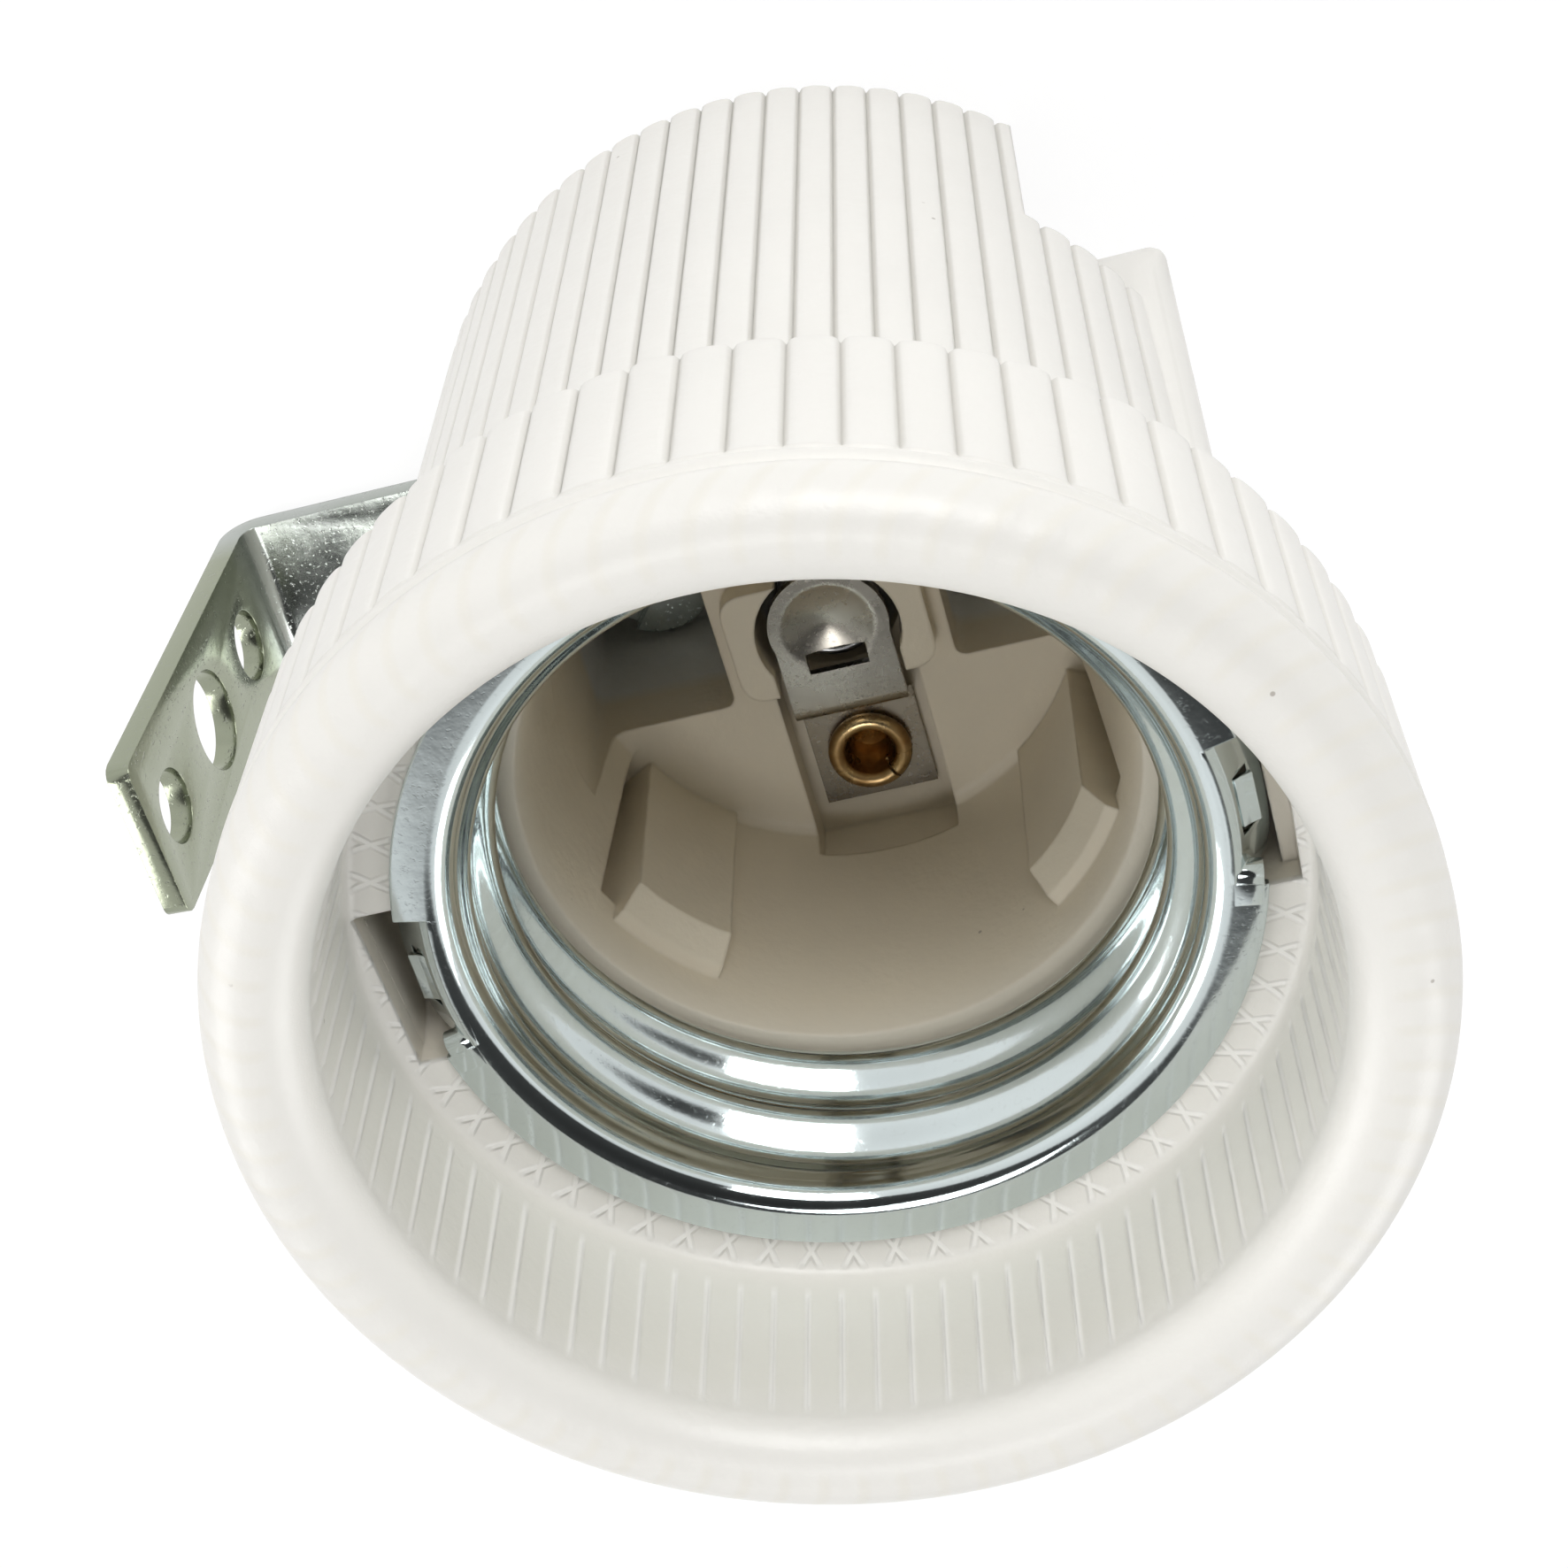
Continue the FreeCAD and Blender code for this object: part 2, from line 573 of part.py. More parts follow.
def shell_lead():
    """Strip from the shell's thread root down to the rivet of the shell terminal."""
    outer = -lead_outer_y()
    path = [(-RIVET_Y + FOOT_END, GROOVE_Z), (outer, GROOVE_Z), (outer, LEAD_TOP_Z)]
    lead = strip_from_path(path[::-1], STRIP_W, STRIP_T)
    return lead.cut(rod(RIVET_R + RIVET_CLEAR, GROOVE_Z - 1, GROOVE_Z + 1, 0, -RIVET_Y))


# ---------------------------------------------------------------- terminals (side +1 centre, -1 shell)

def screw_y():
    """Distance of the terminal screws from the XZ plane."""
    return WEB_W / 2 + WEB_GAP + PLATE_W / 2


def terminal_plate(side):
    low_y = WEB_W / 2 + WEB_GAP
    plate = rounded_block(PLATE_FAR_X, PLATE_END_X, low_y, low_y + PLATE_W, SLAB_REAR_Z - PLATE_T,
                          SLAB_REAR_Z, 0.8)
    plate = plate.cut([rod(TERM_R + TERM_CLEAR, 0, SLAB_REAR_Z + 1, SCREW_X, screw_y()),
                       rod(RIVET_R + RIVET_CLEAR, 0, SLAB_REAR_Z + 1, 0, RIVET_Y)])
    return plate if side > 0 else mirror_y(plate)


def clamp_washer(side):
    top = SLAB_REAR_Z - PLATE_T - STACK_GAP
    half = WASHER_W / 2
    washer = rounded_block(SCREW_X - half, SCREW_X + half, screw_y() - half, screw_y() + half,
                           top - WASHER_T, top, 0.4)
    washer = washer.cut(rod(TERM_R + TERM_CLEAR, 0, SLAB_REAR_Z, SCREW_X, screw_y()))
    return washer if side > 0 else mirror_y(washer)


def terminal_screw(side):
    seat = SLAB_REAR_Z - PLATE_T - WASHER_T - 2 * STACK_GAP
    screw = rod(TERM_HEAD_R, seat - TERM_HEAD_H, seat).fuse(rod(TERM_R, seat, TERM_TIP_Z))
    rims = [e for e in screw.Edges if abs(e.CenterOfMass.z - seat + TERM_HEAD_H) < 1e-6
            or abs(e.CenterOfMass.z - TERM_TIP_Z) < 1e-6]
    screw = screw.makeChamfer(0.35, [e for e in rims if e.Curve.TypeId == "Part::GeomCircle"])
    slot = box(-TERM_HEAD_R - 1, TERM_HEAD_R + 1, -SLOT_W / 2, SLOT_W / 2, seat - TERM_HEAD_H - 1,
               seat - TERM_HEAD_H + SLOT_DEPTH)
    slot.rotate(ORIGIN, Z, 35 * side)
    screw = screw.cut(slot)
    screw.translate(V(SCREW_X, side * screw_y(), 0))
    return screw


# ---------------------------------------------------------------- bracket and its screws

def strap_front_z():
    """Front face of the strap's base, seated in the channel."""
    return STRAP_INSET


def bracket():
    """One bent strap: base along X in the channel, leg towards the mouth, leaning outwards."""
    front, back = strap_front_z(), strap_front_z() - STRAP_T
    tilt = math.radians(LEG_TILT)
    rise = LEG_TOP_Z - front
    inner_top = V(LEG_X + rise * math.tan(tilt), 0, LEG_TOP_Z)
    normal = V(math.cos(tilt), 0, -math.sin(tilt))
    outer_top = inner_top + normal * STRAP_T
    reach = (LEG_X + STRAP_T / math.cos(tilt)) - STRAP_T * math.tan(tilt)
    outline = [V(STRAP_END_X, 0, back), V(STRAP_END_X, 0, front), V(LEG_X, 0, front), inner_top,
               outer_top, V(reach, 0, back)]
    solid = Part.Face(Part.makePolygon(outline + outline[:1])).extrude(V(0, STRAP_W, 0))
    solid.translate(V(0, -STRAP_W / 2, 0))

    def bend_edge(point, radius):
        near = [e for e in solid.Edges if abs(e.CenterOfMass.x - point.x) < 1e-6
                and abs(e.CenterOfMass.z - point.z) < 1e-6]
        return solid.makeFillet(radius, near)

    solid = bend_edge(V(LEG_X, 0, front), LEG_BEND)
    solid = bend_edge(V(reach, 0, back), LEG_BEND + STRAP_T)
    corners = [e for e in solid.Edges if abs(e.Length - STRAP_T) < 1e-6
               and (e.CenterOfMass.z > LEG_TOP_Z - 1 or e.CenterOfMass.x < STRAP_END_X + 0.1)]
    solid = solid.makeFillet(LEG_CORNER, corners)
    holes = [rod(FIX_R + FIX_CLEAR, -1, front + 1, side * FIX_X) for side in (1, -1)]
    for z, r in ((HOLE_LOW_Z, HOLE_SMALL_R), (HOLE_MID_Z, HOLE_LARGE_R), (HOLE_HIGH_Z, HOLE_SMALL_R)):
        face = V(LEG_X + (z - front) * math.tan(tilt), 0, z)
        holes.append(Part.makeCylinder(r, 4 * STRAP_T, face - normal * 1.5 * STRAP_T, normal))
    return solid.cut(holes)


def bracket_screw(side):
    seat = POCKET_FLOOR_Z + LOCK_T
    screw = rod(FIX_HEAD_R, seat, seat + FIX_HEAD_H).fuse(rod(FIX_R, FIX_TIP_Z, seat))
    rims = [e for e in screw.Edges if e.Curve.TypeId == "Part::GeomCircle"
            and (abs(e.CenterOfMass.z - seat - FIX_HEAD_H) < 1e-6 or abs(e.CenterOfMass.z - FIX_TIP_Z) < 1e-6)]
    screw = screw.makeChamfer(0.3, rims)
    slot = box(-FIX_HEAD_R - 1, FIX_HEAD_R + 1, -SLOT_W / 2, SLOT_W / 2, seat + FIX_HEAD_H - SLOT_DEPTH,
               seat + FIX_HEAD_H + 1)
    slot.rotate(ORIGIN, Z, 50 * side)
    screw = screw.cut(slot)
    screw.translate(V(side * FIX_X, 0, 0))
    return screw


def lock_washer(side):
    """Split spring washer under a bracket screw's head."""
    low, high = POCKET_FLOOR_Z, POCKET_FLOOR_Z + LOCK_T
    ring = rod(LOCK_R, low, high).cut(rod(FIX_R + 2 * FIX_CLEAR, low - 1, high + 1))
    ring = ring.cut(box(0, LOCK_R + 1, -0.2, 0.2, low - 1, high + 1))
    ring.rotate(ORIGIN, Z, 60 * side)
    ring.translate(V(side * FIX_X, 0, 0))
    return ring


NODES = {
    "porcelain_body": porcelain_body,
    "screw_shell": screw_shell,
    "shell_lead": shell_lead,
    "shell_rivet": lambda: rivet(-1),
    "contact_strip": contact_strip,
    "contact_spring": contact_spring,
    "contact_rivet": lambda: rivet(1),
    "centre_terminal": lambda: terminal_plate(1),
    "shell_terminal": lambda: terminal_plate(-1),
    "centre_clamp_washer": lambda: clamp_washer(1),
    "shell_clamp_washer": lambda: clamp_washer(-1),
    "centre_terminal_screw": lambda: terminal_screw(1),
    "shell_terminal_screw": lambda: terminal_screw(-1),
    "bracket": bracket,
    "bracket_screw_outer": lambda: bracket_screw(1),
    "bracket_screw_inner": lambda: bracket_screw(-1),
    "bracket_washer_outer": lambda: lock_washer(1),
    "bracket_washer_inner": lambda: lock_washer(-1),
}


def main():
    os.makedirs("parts", exist_ok=True)
    for name, make in NODES.items():
        shape = make()
        shape = shape.Solids[0] if len(shape.Solids) == 1 else shape
        print(name, shape.ShapeType, len(shape.Solids), round(shape.Volume, 2), shape.isValid(), flush=True)
        shape.exportStep("parts/" + name + ".step")


main()
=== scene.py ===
"""Looks of the porcelain lamp holder: ribbed body, zinc plated screw shell, contact, bracket and stage.

Run as a script. Sizes inside the functions are millimetres in the frame's own axes, and every mesh is
scaled to metres as it is written.
"""
import math
import bpy
import numpy as np
from bpy.props import FloatProperty, FloatVectorProperty, IntProperty, PointerProperty
from mathutils import Matrix, Vector


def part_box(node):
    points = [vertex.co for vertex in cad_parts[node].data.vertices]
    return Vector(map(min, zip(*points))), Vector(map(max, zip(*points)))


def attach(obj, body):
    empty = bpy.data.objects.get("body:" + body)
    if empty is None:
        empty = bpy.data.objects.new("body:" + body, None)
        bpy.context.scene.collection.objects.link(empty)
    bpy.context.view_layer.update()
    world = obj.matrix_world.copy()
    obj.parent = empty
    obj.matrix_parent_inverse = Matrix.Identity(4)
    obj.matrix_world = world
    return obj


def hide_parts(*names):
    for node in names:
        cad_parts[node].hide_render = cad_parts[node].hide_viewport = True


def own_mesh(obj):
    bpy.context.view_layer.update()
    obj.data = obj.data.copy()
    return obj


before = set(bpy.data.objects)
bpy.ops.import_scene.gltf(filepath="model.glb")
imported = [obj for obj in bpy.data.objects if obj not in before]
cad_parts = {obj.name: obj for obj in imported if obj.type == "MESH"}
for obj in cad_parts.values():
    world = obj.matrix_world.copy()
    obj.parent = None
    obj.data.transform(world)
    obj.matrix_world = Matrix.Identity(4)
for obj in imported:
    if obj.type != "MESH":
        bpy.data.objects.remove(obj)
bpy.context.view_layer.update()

bl_info = {
    "name": "Porcelain lamp holder",
    "version": (1, 0, 0),
    "blender": (4, 5, 0),
    "location": "View3D > Sidebar > Lamp Holder",
    "description": "Builds the visible surfaces of a porcelain lamp holder around its CAD frame",
    "category": "Object",
}

MM = 0.001
TURN = 2 * math.pi


def box_mm(node):
    """Lowest and highest corner of a CAD node, in millimetres."""
    low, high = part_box(node)
    return np.array(low) / MM, np.array(high) / MM


SHELL_LOW, SHELL_HIGH = box_mm("screw_shell")
STRIP_LOW, STRIP_HIGH = box_mm("contact_strip")
BRACKET_LOW, BRACKET_HIGH = box_mm("bracket")
FLANGE_Z = float(SHELL_HIGH[2])
SHEET = 0.35
STEP_Z = 33.6
LEDGE_Z = FLANGE_Z - SHEET
FLOOR_Z = 15.35
SLAB_REAR_Z = 10.7
GROOVE_Z = 13.6           # floor of the grooves that hold the strip and the lead
WELL_R = 3.0              # spring well
WELL_FLOOR_Z = 6.0
STRIP_T = 0.4
STRIP_W = 4.8
RIVET_Y = 7.1
RIVET_HOLE_R = 1.26
SCREW_X = -5.6            # terminal screws
SCREW_Y = 8.2
SCREW_HOLE_R = 1.8
BRACKET_SCREW_X = 7.8     # bracket screws, on both sides of the axis
PAD_X = 16.5              # flat face of the pad at -X
PAD_BACK_X = 12.9
PAD_HALF = 8.6
PAD_REAR_Z = 3.6
PAD_REAR_ROUND = 3.0
POCKET_HALF = 3.4         # half width of a lug's pocket
POCKET_IN_X = 13.6
POCKET_OUT_X = 16.7
POCKET_PAD_X = 15.8       # outer wall of the deep part, where the pad's wall is thin
POCKET_SHELF_Z = 34.5
LINE_COUNT = 84           # raised lines on the inner wall
LIP_FLUTES = 84
KNURL_COUNT = 64          # crosses round the ledge
KNURL_SLANT = 0.029       # turn of a knurl line per millimetre of radius


# ------------------------------------------------------------------ meshes

def grid_faces(rows, cols, offset=0, wrap=True):
    """Quads of a rows x cols grid of vertices; the columns close on themselves if wrap is true."""
    last = cols if wrap else cols - 1
    r, c = np.meshgrid(np.arange(rows - 1), np.arange(last), indexing="ij")
    nxt = (c + 1) % cols
    quads = np.stack([r * cols + c, r * cols + nxt, (r + 1) * cols + nxt, (r + 1) * cols + c], -1)
    return quads.reshape(-1, 4) + offset


def turned(points, cap_start=True, cap_end=True):
    """Closed skin from rings of points shaped (rings, columns, 3), with a fan to the ring's centre at
    each end. Rings run so that faces point outwards when the path goes up the outside."""
    rings, cols = points.shape[:2]
    verts = [points.reshape(-1, 3)]
    faces = [row.tolist() for row in grid_faces(rings, cols)]
    n = rings * cols
    k = np.arange(cols)
    if cap_start:
        verts.append(points[0].mean(0)[None])
        faces += np.stack([np.full(cols, n), (k + 1) % cols, k], -1).tolist()
        n += 1
    if cap_end:
        verts.append(points[-1].mean(0)[None])
        base = (rings - 1) * cols
        faces += np.stack([np.full(cols, n), base + k, base + (k + 1) % cols], -1).tolist()
    return np.concatenate(verts), faces


def hoop(points):
    """Closed skin from rings that also close on themselves from last to first, as on a tube bent round."""
    rings, cols = points.shape[:2]
    looped = np.concatenate([points, points[:1]])
    quads = grid_faces(rings + 1, cols) % (rings * cols)
    return looped[:rings].reshape(-1, 3), quads.tolist()


def joined(*parts):
    """Several (vertices, faces) pairs as one."""
    verts, faces, n = [], [], 0
    for v, f in parts:
        verts.append(np.asarray(v, float))
        faces += [[i + n for i in face] for face in f]
        n += len(v)
    return np.concatenate(verts), faces


def polar(radius, angle, z):
    """Points from radius, angle in radians and height, broadcast together."""
    radius, angle, z = np.broadcast_arrays(radius, angle, z)
    return np.stack([radius * np.cos(angle), radius * np.sin(angle), z], -1)


def block(x0, x1, y0, y1, z0, z1):
    """Closed box."""
    verts = np.array([[x, y, z] for z in (z0, z1) for x, y in ((x0, y0), (x1, y0), (x1, y1), (x0, y1))])
    faces = [[3, 2, 1, 0], [4, 5, 6, 7], [0, 1, 5, 4], [1, 2, 6, 5], [2, 3, 7, 6], [3, 0, 4, 7]]
    return verts, faces


def rounded_block(x0, x1, y0, y1, z0, z1, radius, steps=6):
    """Upright closed prism whose outline is a rectangle with rounded corners."""
    quarter = np.linspace(0, math.pi / 2, steps)
    corners = ((x1, y1, 0), (x0, y1, 1), (x0, y0, 2), (x1, y0, 3))
    outline = []
    for x, y, k in corners:
        a = quarter + k * math.pi / 2
        cx = x - radius if x == x1 else x + radius
        cy = y - radius if y == y1 else y + radius
        outline.append(np.stack([cx + radius * np.cos(a), cy + radius * np.sin(a)], -1))
    outline = np.concatenate(outline)
    rings = [np.column_stack([outline, np.full(len(outline), z)]) for z in (z0, z1)]
    return turned(np.array(rings))


def rod(radius, z0, z1, x=0.0, y=0.0, sides=64):
    """Upright closed cylinder."""
    a = np.arange(sides) * TURN / sides
    rings = np.array([polar(radius, a, z) for z in (z0, z1)])
    return turned(rings + np.array([x, y, 0.0]))


def wedge(profile, start, end, steps=24):
    """Closed solid from an anticlockwise (radius, z) outline swept from start to end degrees."""
    outline = np.array(profile, float)
    a = np.radians(np.linspace(start, end, steps))
    rings = polar(outline[None, :, 0], a[:, None], outline[None, :, 1])
    return turned(rings)


def moved(part, matrix):
    """A (vertices, faces) pair with a 4x4 matrix applied; a mirror turns its faces round."""
    verts, faces = part
    m = np.array(matrix)
    out = np.asarray(verts) @ m[:3, :3].T + m[:3, 3]
    if np.linalg.det(m[:3, :3]) < 0:
        faces = [face[::-1] for face in faces]
    return out, faces


def mirror_x(part):
    """Mirrored about the YZ plane."""
    return moved(part, Matrix.Diagonal((-1, 1, 1, 1)))


def mirror_y(part):
    """Mirrored about the XZ plane."""
    return moved(part, Matrix.Diagonal((1, -1, 1, 1)))


def raw_object(name, part):
    """Object with a mesh in metres whose normals all point outwards."""
    verts, faces = part
    mesh = bpy.data.meshes.new(name)
    mesh.from_pydata((np.asarray(verts) * MM).tolist(), [], faces)
    mesh.update()
    obj = bpy.data.objects.new(name, mesh)
    bpy.context.scene.collection.objects.link(obj)
    outward(obj)
    return obj


def part_of(obj):
    """The (vertices, faces) pair of an object's mesh, in millimetres."""
    verts = np.zeros(len(obj.data.vertices) * 3)
    obj.data.vertices.foreach_get("co", verts)
    return verts.reshape(-1, 3) / MM, [list(p.vertices) for p in obj.data.polygons]


def outward(obj):
    """Turns a closed mesh the right way out if its signed volume is negative."""
    mesh = obj.data
    mesh.calc_loop_triangles()
    co = np.zeros(len(mesh.vertices) * 3)
    mesh.vertices.foreach_get("co", co)
    tri = np.zeros(len(mesh.loop_triangles) * 3, int)
    mesh.loop_triangles.foreach_get("vertices", tri)
    p = co.reshape(-1, 3)[tri.reshape(-1, 3)]
    volume = np.einsum("ij,ij->i", p[:, 0], np.cross(p[:, 1], p[:, 2])).sum()
    if volume < 0:
        mesh.flip_normals()


def apply_modifiers(obj):
    """Replaces the mesh by what its modifiers make of it."""
    graph = bpy.context.evaluated_depsgraph_get()
    mesh = bpy.data.meshes.new_from_object(obj.evaluated_get(graph))
    obj.modifiers.clear()
    old, obj.data = obj.data, mesh
    name = old.name
    bpy.data.meshes.remove(old)
    mesh.name = name


def combine(obj, parts, operation):
    """Adds to or cuts from obj each (vertices, faces) pair, in order."""
    for i, part in enumerate(parts):
        tool = raw_object(f"tool_{i}", part)
        mod = obj.modifiers.new("tool", "BOOLEAN")
        mod.operation, mod.solver, mod.object = operation, "MANIFOLD", tool
        apply_modifiers(obj)
        mesh = tool.data
        bpy.data.objects.remove(tool)
        bpy.data.meshes.remove(mesh)
    return obj


def finish_piece(obj, body, material, crease=35.0, replaces=()):
    """Shading, material, body and the CAD nodes that obj stands for."""
    obj.data.shade_smooth()
    obj.data.set_sharp_from_angle(angle=math.radians(crease))
    obj.data.materials.clear()
    obj.data.materials.append(material)
    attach(obj, body)
    if replaces:
        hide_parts(*replaces)
    return obj


def bevelled(obj, width, segments=2, angle=30.0):
    """Rounds the edges of a simple solid."""
    mod = obj.modifiers.new("edge", "BEVEL")
    mod.width, mod.segments, mod.limit_method = width * MM, segments, "ANGLE"
    mod.angle_limit = math.radians(angle)
    apply_modifiers(obj)
    return obj


# ------------------------------------------------------------------ materials

class Paint:
    """Small helper that adds and links the nodes of one material or world."""

    def __init__(self, tree):
        self.tree = tree

    def add(self, kind, inputs=None, **settings):
        node = self.tree.nodes.new(kind)
        for key, value in settings.items():
            setattr(node, key, value)
        for key, value in (inputs or {}).items():
            socket = node.inputs[key]
            if isinstance(value, bpy.types.NodeSocket):
                self.tree.links.new(value, socket)
            else:
                socket.default_value = value
        return node

    def math(self, operation, *values):
        return self.add("ShaderNodeMath", dict(enumerate(values)), operation=operation).outputs[0]

    def coordinates(self):
        return self.add("ShaderNodeTexCoord").outputs["Object"]

    def noise(self, vector, scale, detail=3.0, roughness=0.55):
        """Noise whose scale is in features per millimetre."""
        return self.add("ShaderNodeTexNoise", {"Vector": vector, "Scale": scale / MM, "Detail": detail,
                                               "Roughness": roughness}).outputs["Fac"]

    def ramp(self, value, stops):
        """Value through a linear ramp of (position, grey or colour) stops."""
        node = self.add("ShaderNodeValToRGB", {"Fac": value})
        ends = node.color_ramp.elements
        while len(ends) < len(stops):
            ends.new(0.5)
        for end, (position, colour) in zip(ends, stops):
            end.position = position
            end.color = (colour,) * 3 + (1,) if isinstance(colour, float) else tuple(colour) + (1,)
        return node.outputs["Color"]

    def mix(self, share, a, b, blend="MIX"):
        node = self.add("ShaderNodeMix", data_type="RGBA", blend_type=blend)
        for index, value in ((0, share), (6, a), (7, b)):
            socket = node.inputs[index]
            if isinstance(value, bpy.types.NodeSocket):
                self.tree.links.new(value, socket)
            else:
                socket.default_value = value if index == 0 else tuple(value)[:3] + (1,)
        return node.outputs[2]

    def band(self, value, start, end):
        """0 below start, 1 above end and straight between."""
        return self.add("ShaderNodeMapRange", {"Value": value, "From Min": start, "From Max": end}
                        ).outputs[0]


def new_material(name):
    """Empty material with its Principled shader, and the helper that fills it."""
    material = bpy.data.materials.new(name)
    material.use_nodes = True
    shader = material.node_tree.nodes["Principled BSDF"]
    return material, Paint(material.node_tree), shader


def set_normal(paint, shader, height, distance, edge):
    """Bump of the given height in millimetres over edges rounded by `edge` millimetres."""
    rounded = paint.add("ShaderNodeBevel", {"Radius": edge * MM}, samples=4).outputs[0]
    bump = paint.add("ShaderNodeBump", {"Height": height, "Distance": distance * MM, "Normal": rounded,
                                        "Strength": 1.0})
    paint.tree.links.new(bump.outputs[0], shader.inputs["Normal"])


def near_line(paint, azimuth, count, phase, inner, outer):
    """1 on each of `count` lines spread over the azimuth from phase degrees, 0 beyond `outer` of a pitch."""
    turns = paint.math("MULTIPLY_ADD", azimuth, count / TURN, -phase * count / 360.0)
    return paint.band(paint.math("PINGPONG", turns, 0.5), outer, inner)


def porcelain_material(sizes, colours):
    """Warm white fired porcelain: a bore painted darker and warmer as painted shade, painted shade in the
    grooves and in the lug pockets, pale raised lines, slanted flutes on the lip and a cross-hatched ledge."""
    material, paint, shader = new_material("porcelain")
    place = paint.coordinates()
    parts = paint.add("ShaderNodeSeparateXYZ", {"Vector": place})
    x, y, z = (parts.outputs[i] for i in range(3))
    radius = paint.math("SQRT", paint.math("MULTIPLY_ADD", x, x, paint.math("MULTIPLY", y, y)))
    azimuth = paint.math("ARCTAN2", y, x)

    def within(value, low, high, soft=0.1):
        return paint.math("MULTIPLY", paint.band(value, (low - soft) * MM, (low + soft) * MM),
                          paint.band(value, (high + soft) * MM, (high - soft) * MM))

    rear = paint.math("MULTIPLY", near_line(paint, azimuth, sizes.rear_ribs, sizes.rear_phase, 0.02, 0.13),
                      paint.math("MULTIPLY", within(radius, 16.8, 18.1), within(z, 0.3, STEP_Z)))
    rear = paint.math("MULTIPLY", rear, paint.band(x, -16.0 * MM, -15.7 * MM))
    skirt = paint.math("MULTIPLY", near_line(paint, azimuth, sizes.skirt_ribs, sizes.skirt_phase, 0.02, 0.11),
                       paint.math("MULTIPLY", paint.band(radius, 19.9 * MM, 20.3 * MM),
                                  within(z, STEP_Z, 42.0, 0.25)))
    lines = paint.math("MULTIPLY", near_line(paint, azimuth, LINE_COUNT, sizes.line_phase, 0.05, 0.13),
                       paint.math("MULTIPLY", within(radius, 16.4, 17.7), within(z, 37.0, 43.4, 0.25)))
    wall = paint.math("MULTIPLY", within(radius, 16.4, 17.7, 0.3), within(z, 36.6, 43.0, 0.9))
    twist = paint.math("MULTIPLY_ADD", z, -0.035 / MM, azimuth)
    flute = paint.math("SINE", paint.math("MULTIPLY", twist, float(LIP_FLUTES)))
    flute = paint.math("MULTIPLY", flute, paint.math("MULTIPLY", paint.band(radius, 18.2 * MM, 18.8 * MM),
                                                     paint.band(z, 43.1 * MM, 43.8 * MM)))
    shift = paint.math("MULTIPLY_ADD", radius, KNURL_SLANT / MM, -16.2 * KNURL_SLANT)
    cross = paint.math("MAXIMUM", *[near_line(paint, paint.math(way, azimuth, shift), KNURL_COUNT, 0.0,
                                              0.05, 0.12) for way in ("ADD", "SUBTRACT")])
    cross = paint.math("MULTIPLY", cross, paint.math("MULTIPLY", within(radius, 15.5, 16.9),
                                                     within(z, LEDGE_Z - 0.2, LEDGE_Z + 0.3)))
    # Painted shade: the bore below the ledge is painted darker and warmer for the little light inside it.
    inside = paint.math("MULTIPLY", paint.band(radius, 14.6 * MM, 13.6 * MM),
                        paint.band(z, 12.0 * MM, 13.0 * MM))
    inside = paint.math("MULTIPLY", inside, paint.band(z, 36.0 * MM, 26.0 * MM))
    clouds = paint.ramp(paint.noise(place, 0.12, 4), [(0.3, 0.0), (0.75, 1.0)])
    outer = paint.mix(clouds, colours.porcelain, [c * 0.965 for c in colours.porcelain])
    outer = paint.mix(paint.math("MULTIPLY", wall, 0.8), outer, (0.74, 0.73, 0.67))
    # Painted shade: the grooves between the rear and skirt ribs are painted darker.
    groove_shade = [c * f for c, f in zip(colours.porcelain, (0.66, 0.65, 0.62))]
    outer = paint.mix(paint.math("MULTIPLY", paint.math("MAXIMUM", rear, skirt), 0.55), outer, groove_shade)
    raised = paint.math("MULTIPLY", paint.math("MAXIMUM", lines, cross), 0.8)
    outer = paint.mix(raised, outer, (0.88, 0.87, 0.84))
    outer = paint.mix(paint.band(flute, 0.2, 1.0), outer, [c * f for c, f in zip(colours.porcelain,
                                                                                (0.975, 0.968, 0.945))])
    # Painted shade: the lug pockets are painted a darker brown.
    pocket = paint.math("MULTIPLY", within(radius, 13.7, 17.2), within(z, 30.5, LEDGE_Z - 0.25))
    outer = paint.mix(paint.math("MULTIPLY", pocket, 0.5), outer, (0.70, 0.62, 0.48))
    # Painted shade: the bore's darker, warmer colour.
    bore = paint.mix(clouds, colours.bore, [c * 0.94 for c in colours.bore])
    colour = paint.mix(inside, outer, bore)
    cells = paint.add("ShaderNodeTexVoronoi", {"Vector": place, "Scale": 0.75 / MM})
    speck = paint.math("MULTIPLY", paint.band(cells.outputs["Distance"], 0.075, 0.05),
                       paint.band(paint.noise(place, 0.35, 1), 0.66, 0.7))
    colour = paint.mix(paint.math("MULTIPLY", speck, 0.6), colour, (0.25, 0.21, 0.17))
    paint.tree.links.new(colour, shader.inputs["Base Color"])
    rough = paint.add("ShaderNodeMapRange", {"Value": paint.noise(place, 0.8, 3), "To Min": 0.34,
                                             "To Max": 0.5})
    paint.tree.links.new(rough.outputs[0], shader.inputs["Roughness"])
    shader.inputs["IOR"].default_value = 1.5
    shader.inputs["Coat Weight"].default_value = 0.12
    shader.inputs["Coat Roughness"].default_value = 0.22
    grain = paint.math("MULTIPLY_ADD", paint.noise(place, 0.5, 2), 0.9, paint.noise(place, 2.2, 4))
    grain = paint.math("MULTIPLY_ADD", flute, 0.35, grain)
    grain = paint.math("MULTIPLY_ADD", cross, 2.0, grain)
    set_normal(paint, shader, grain, 0.03, 0.22)
    return material


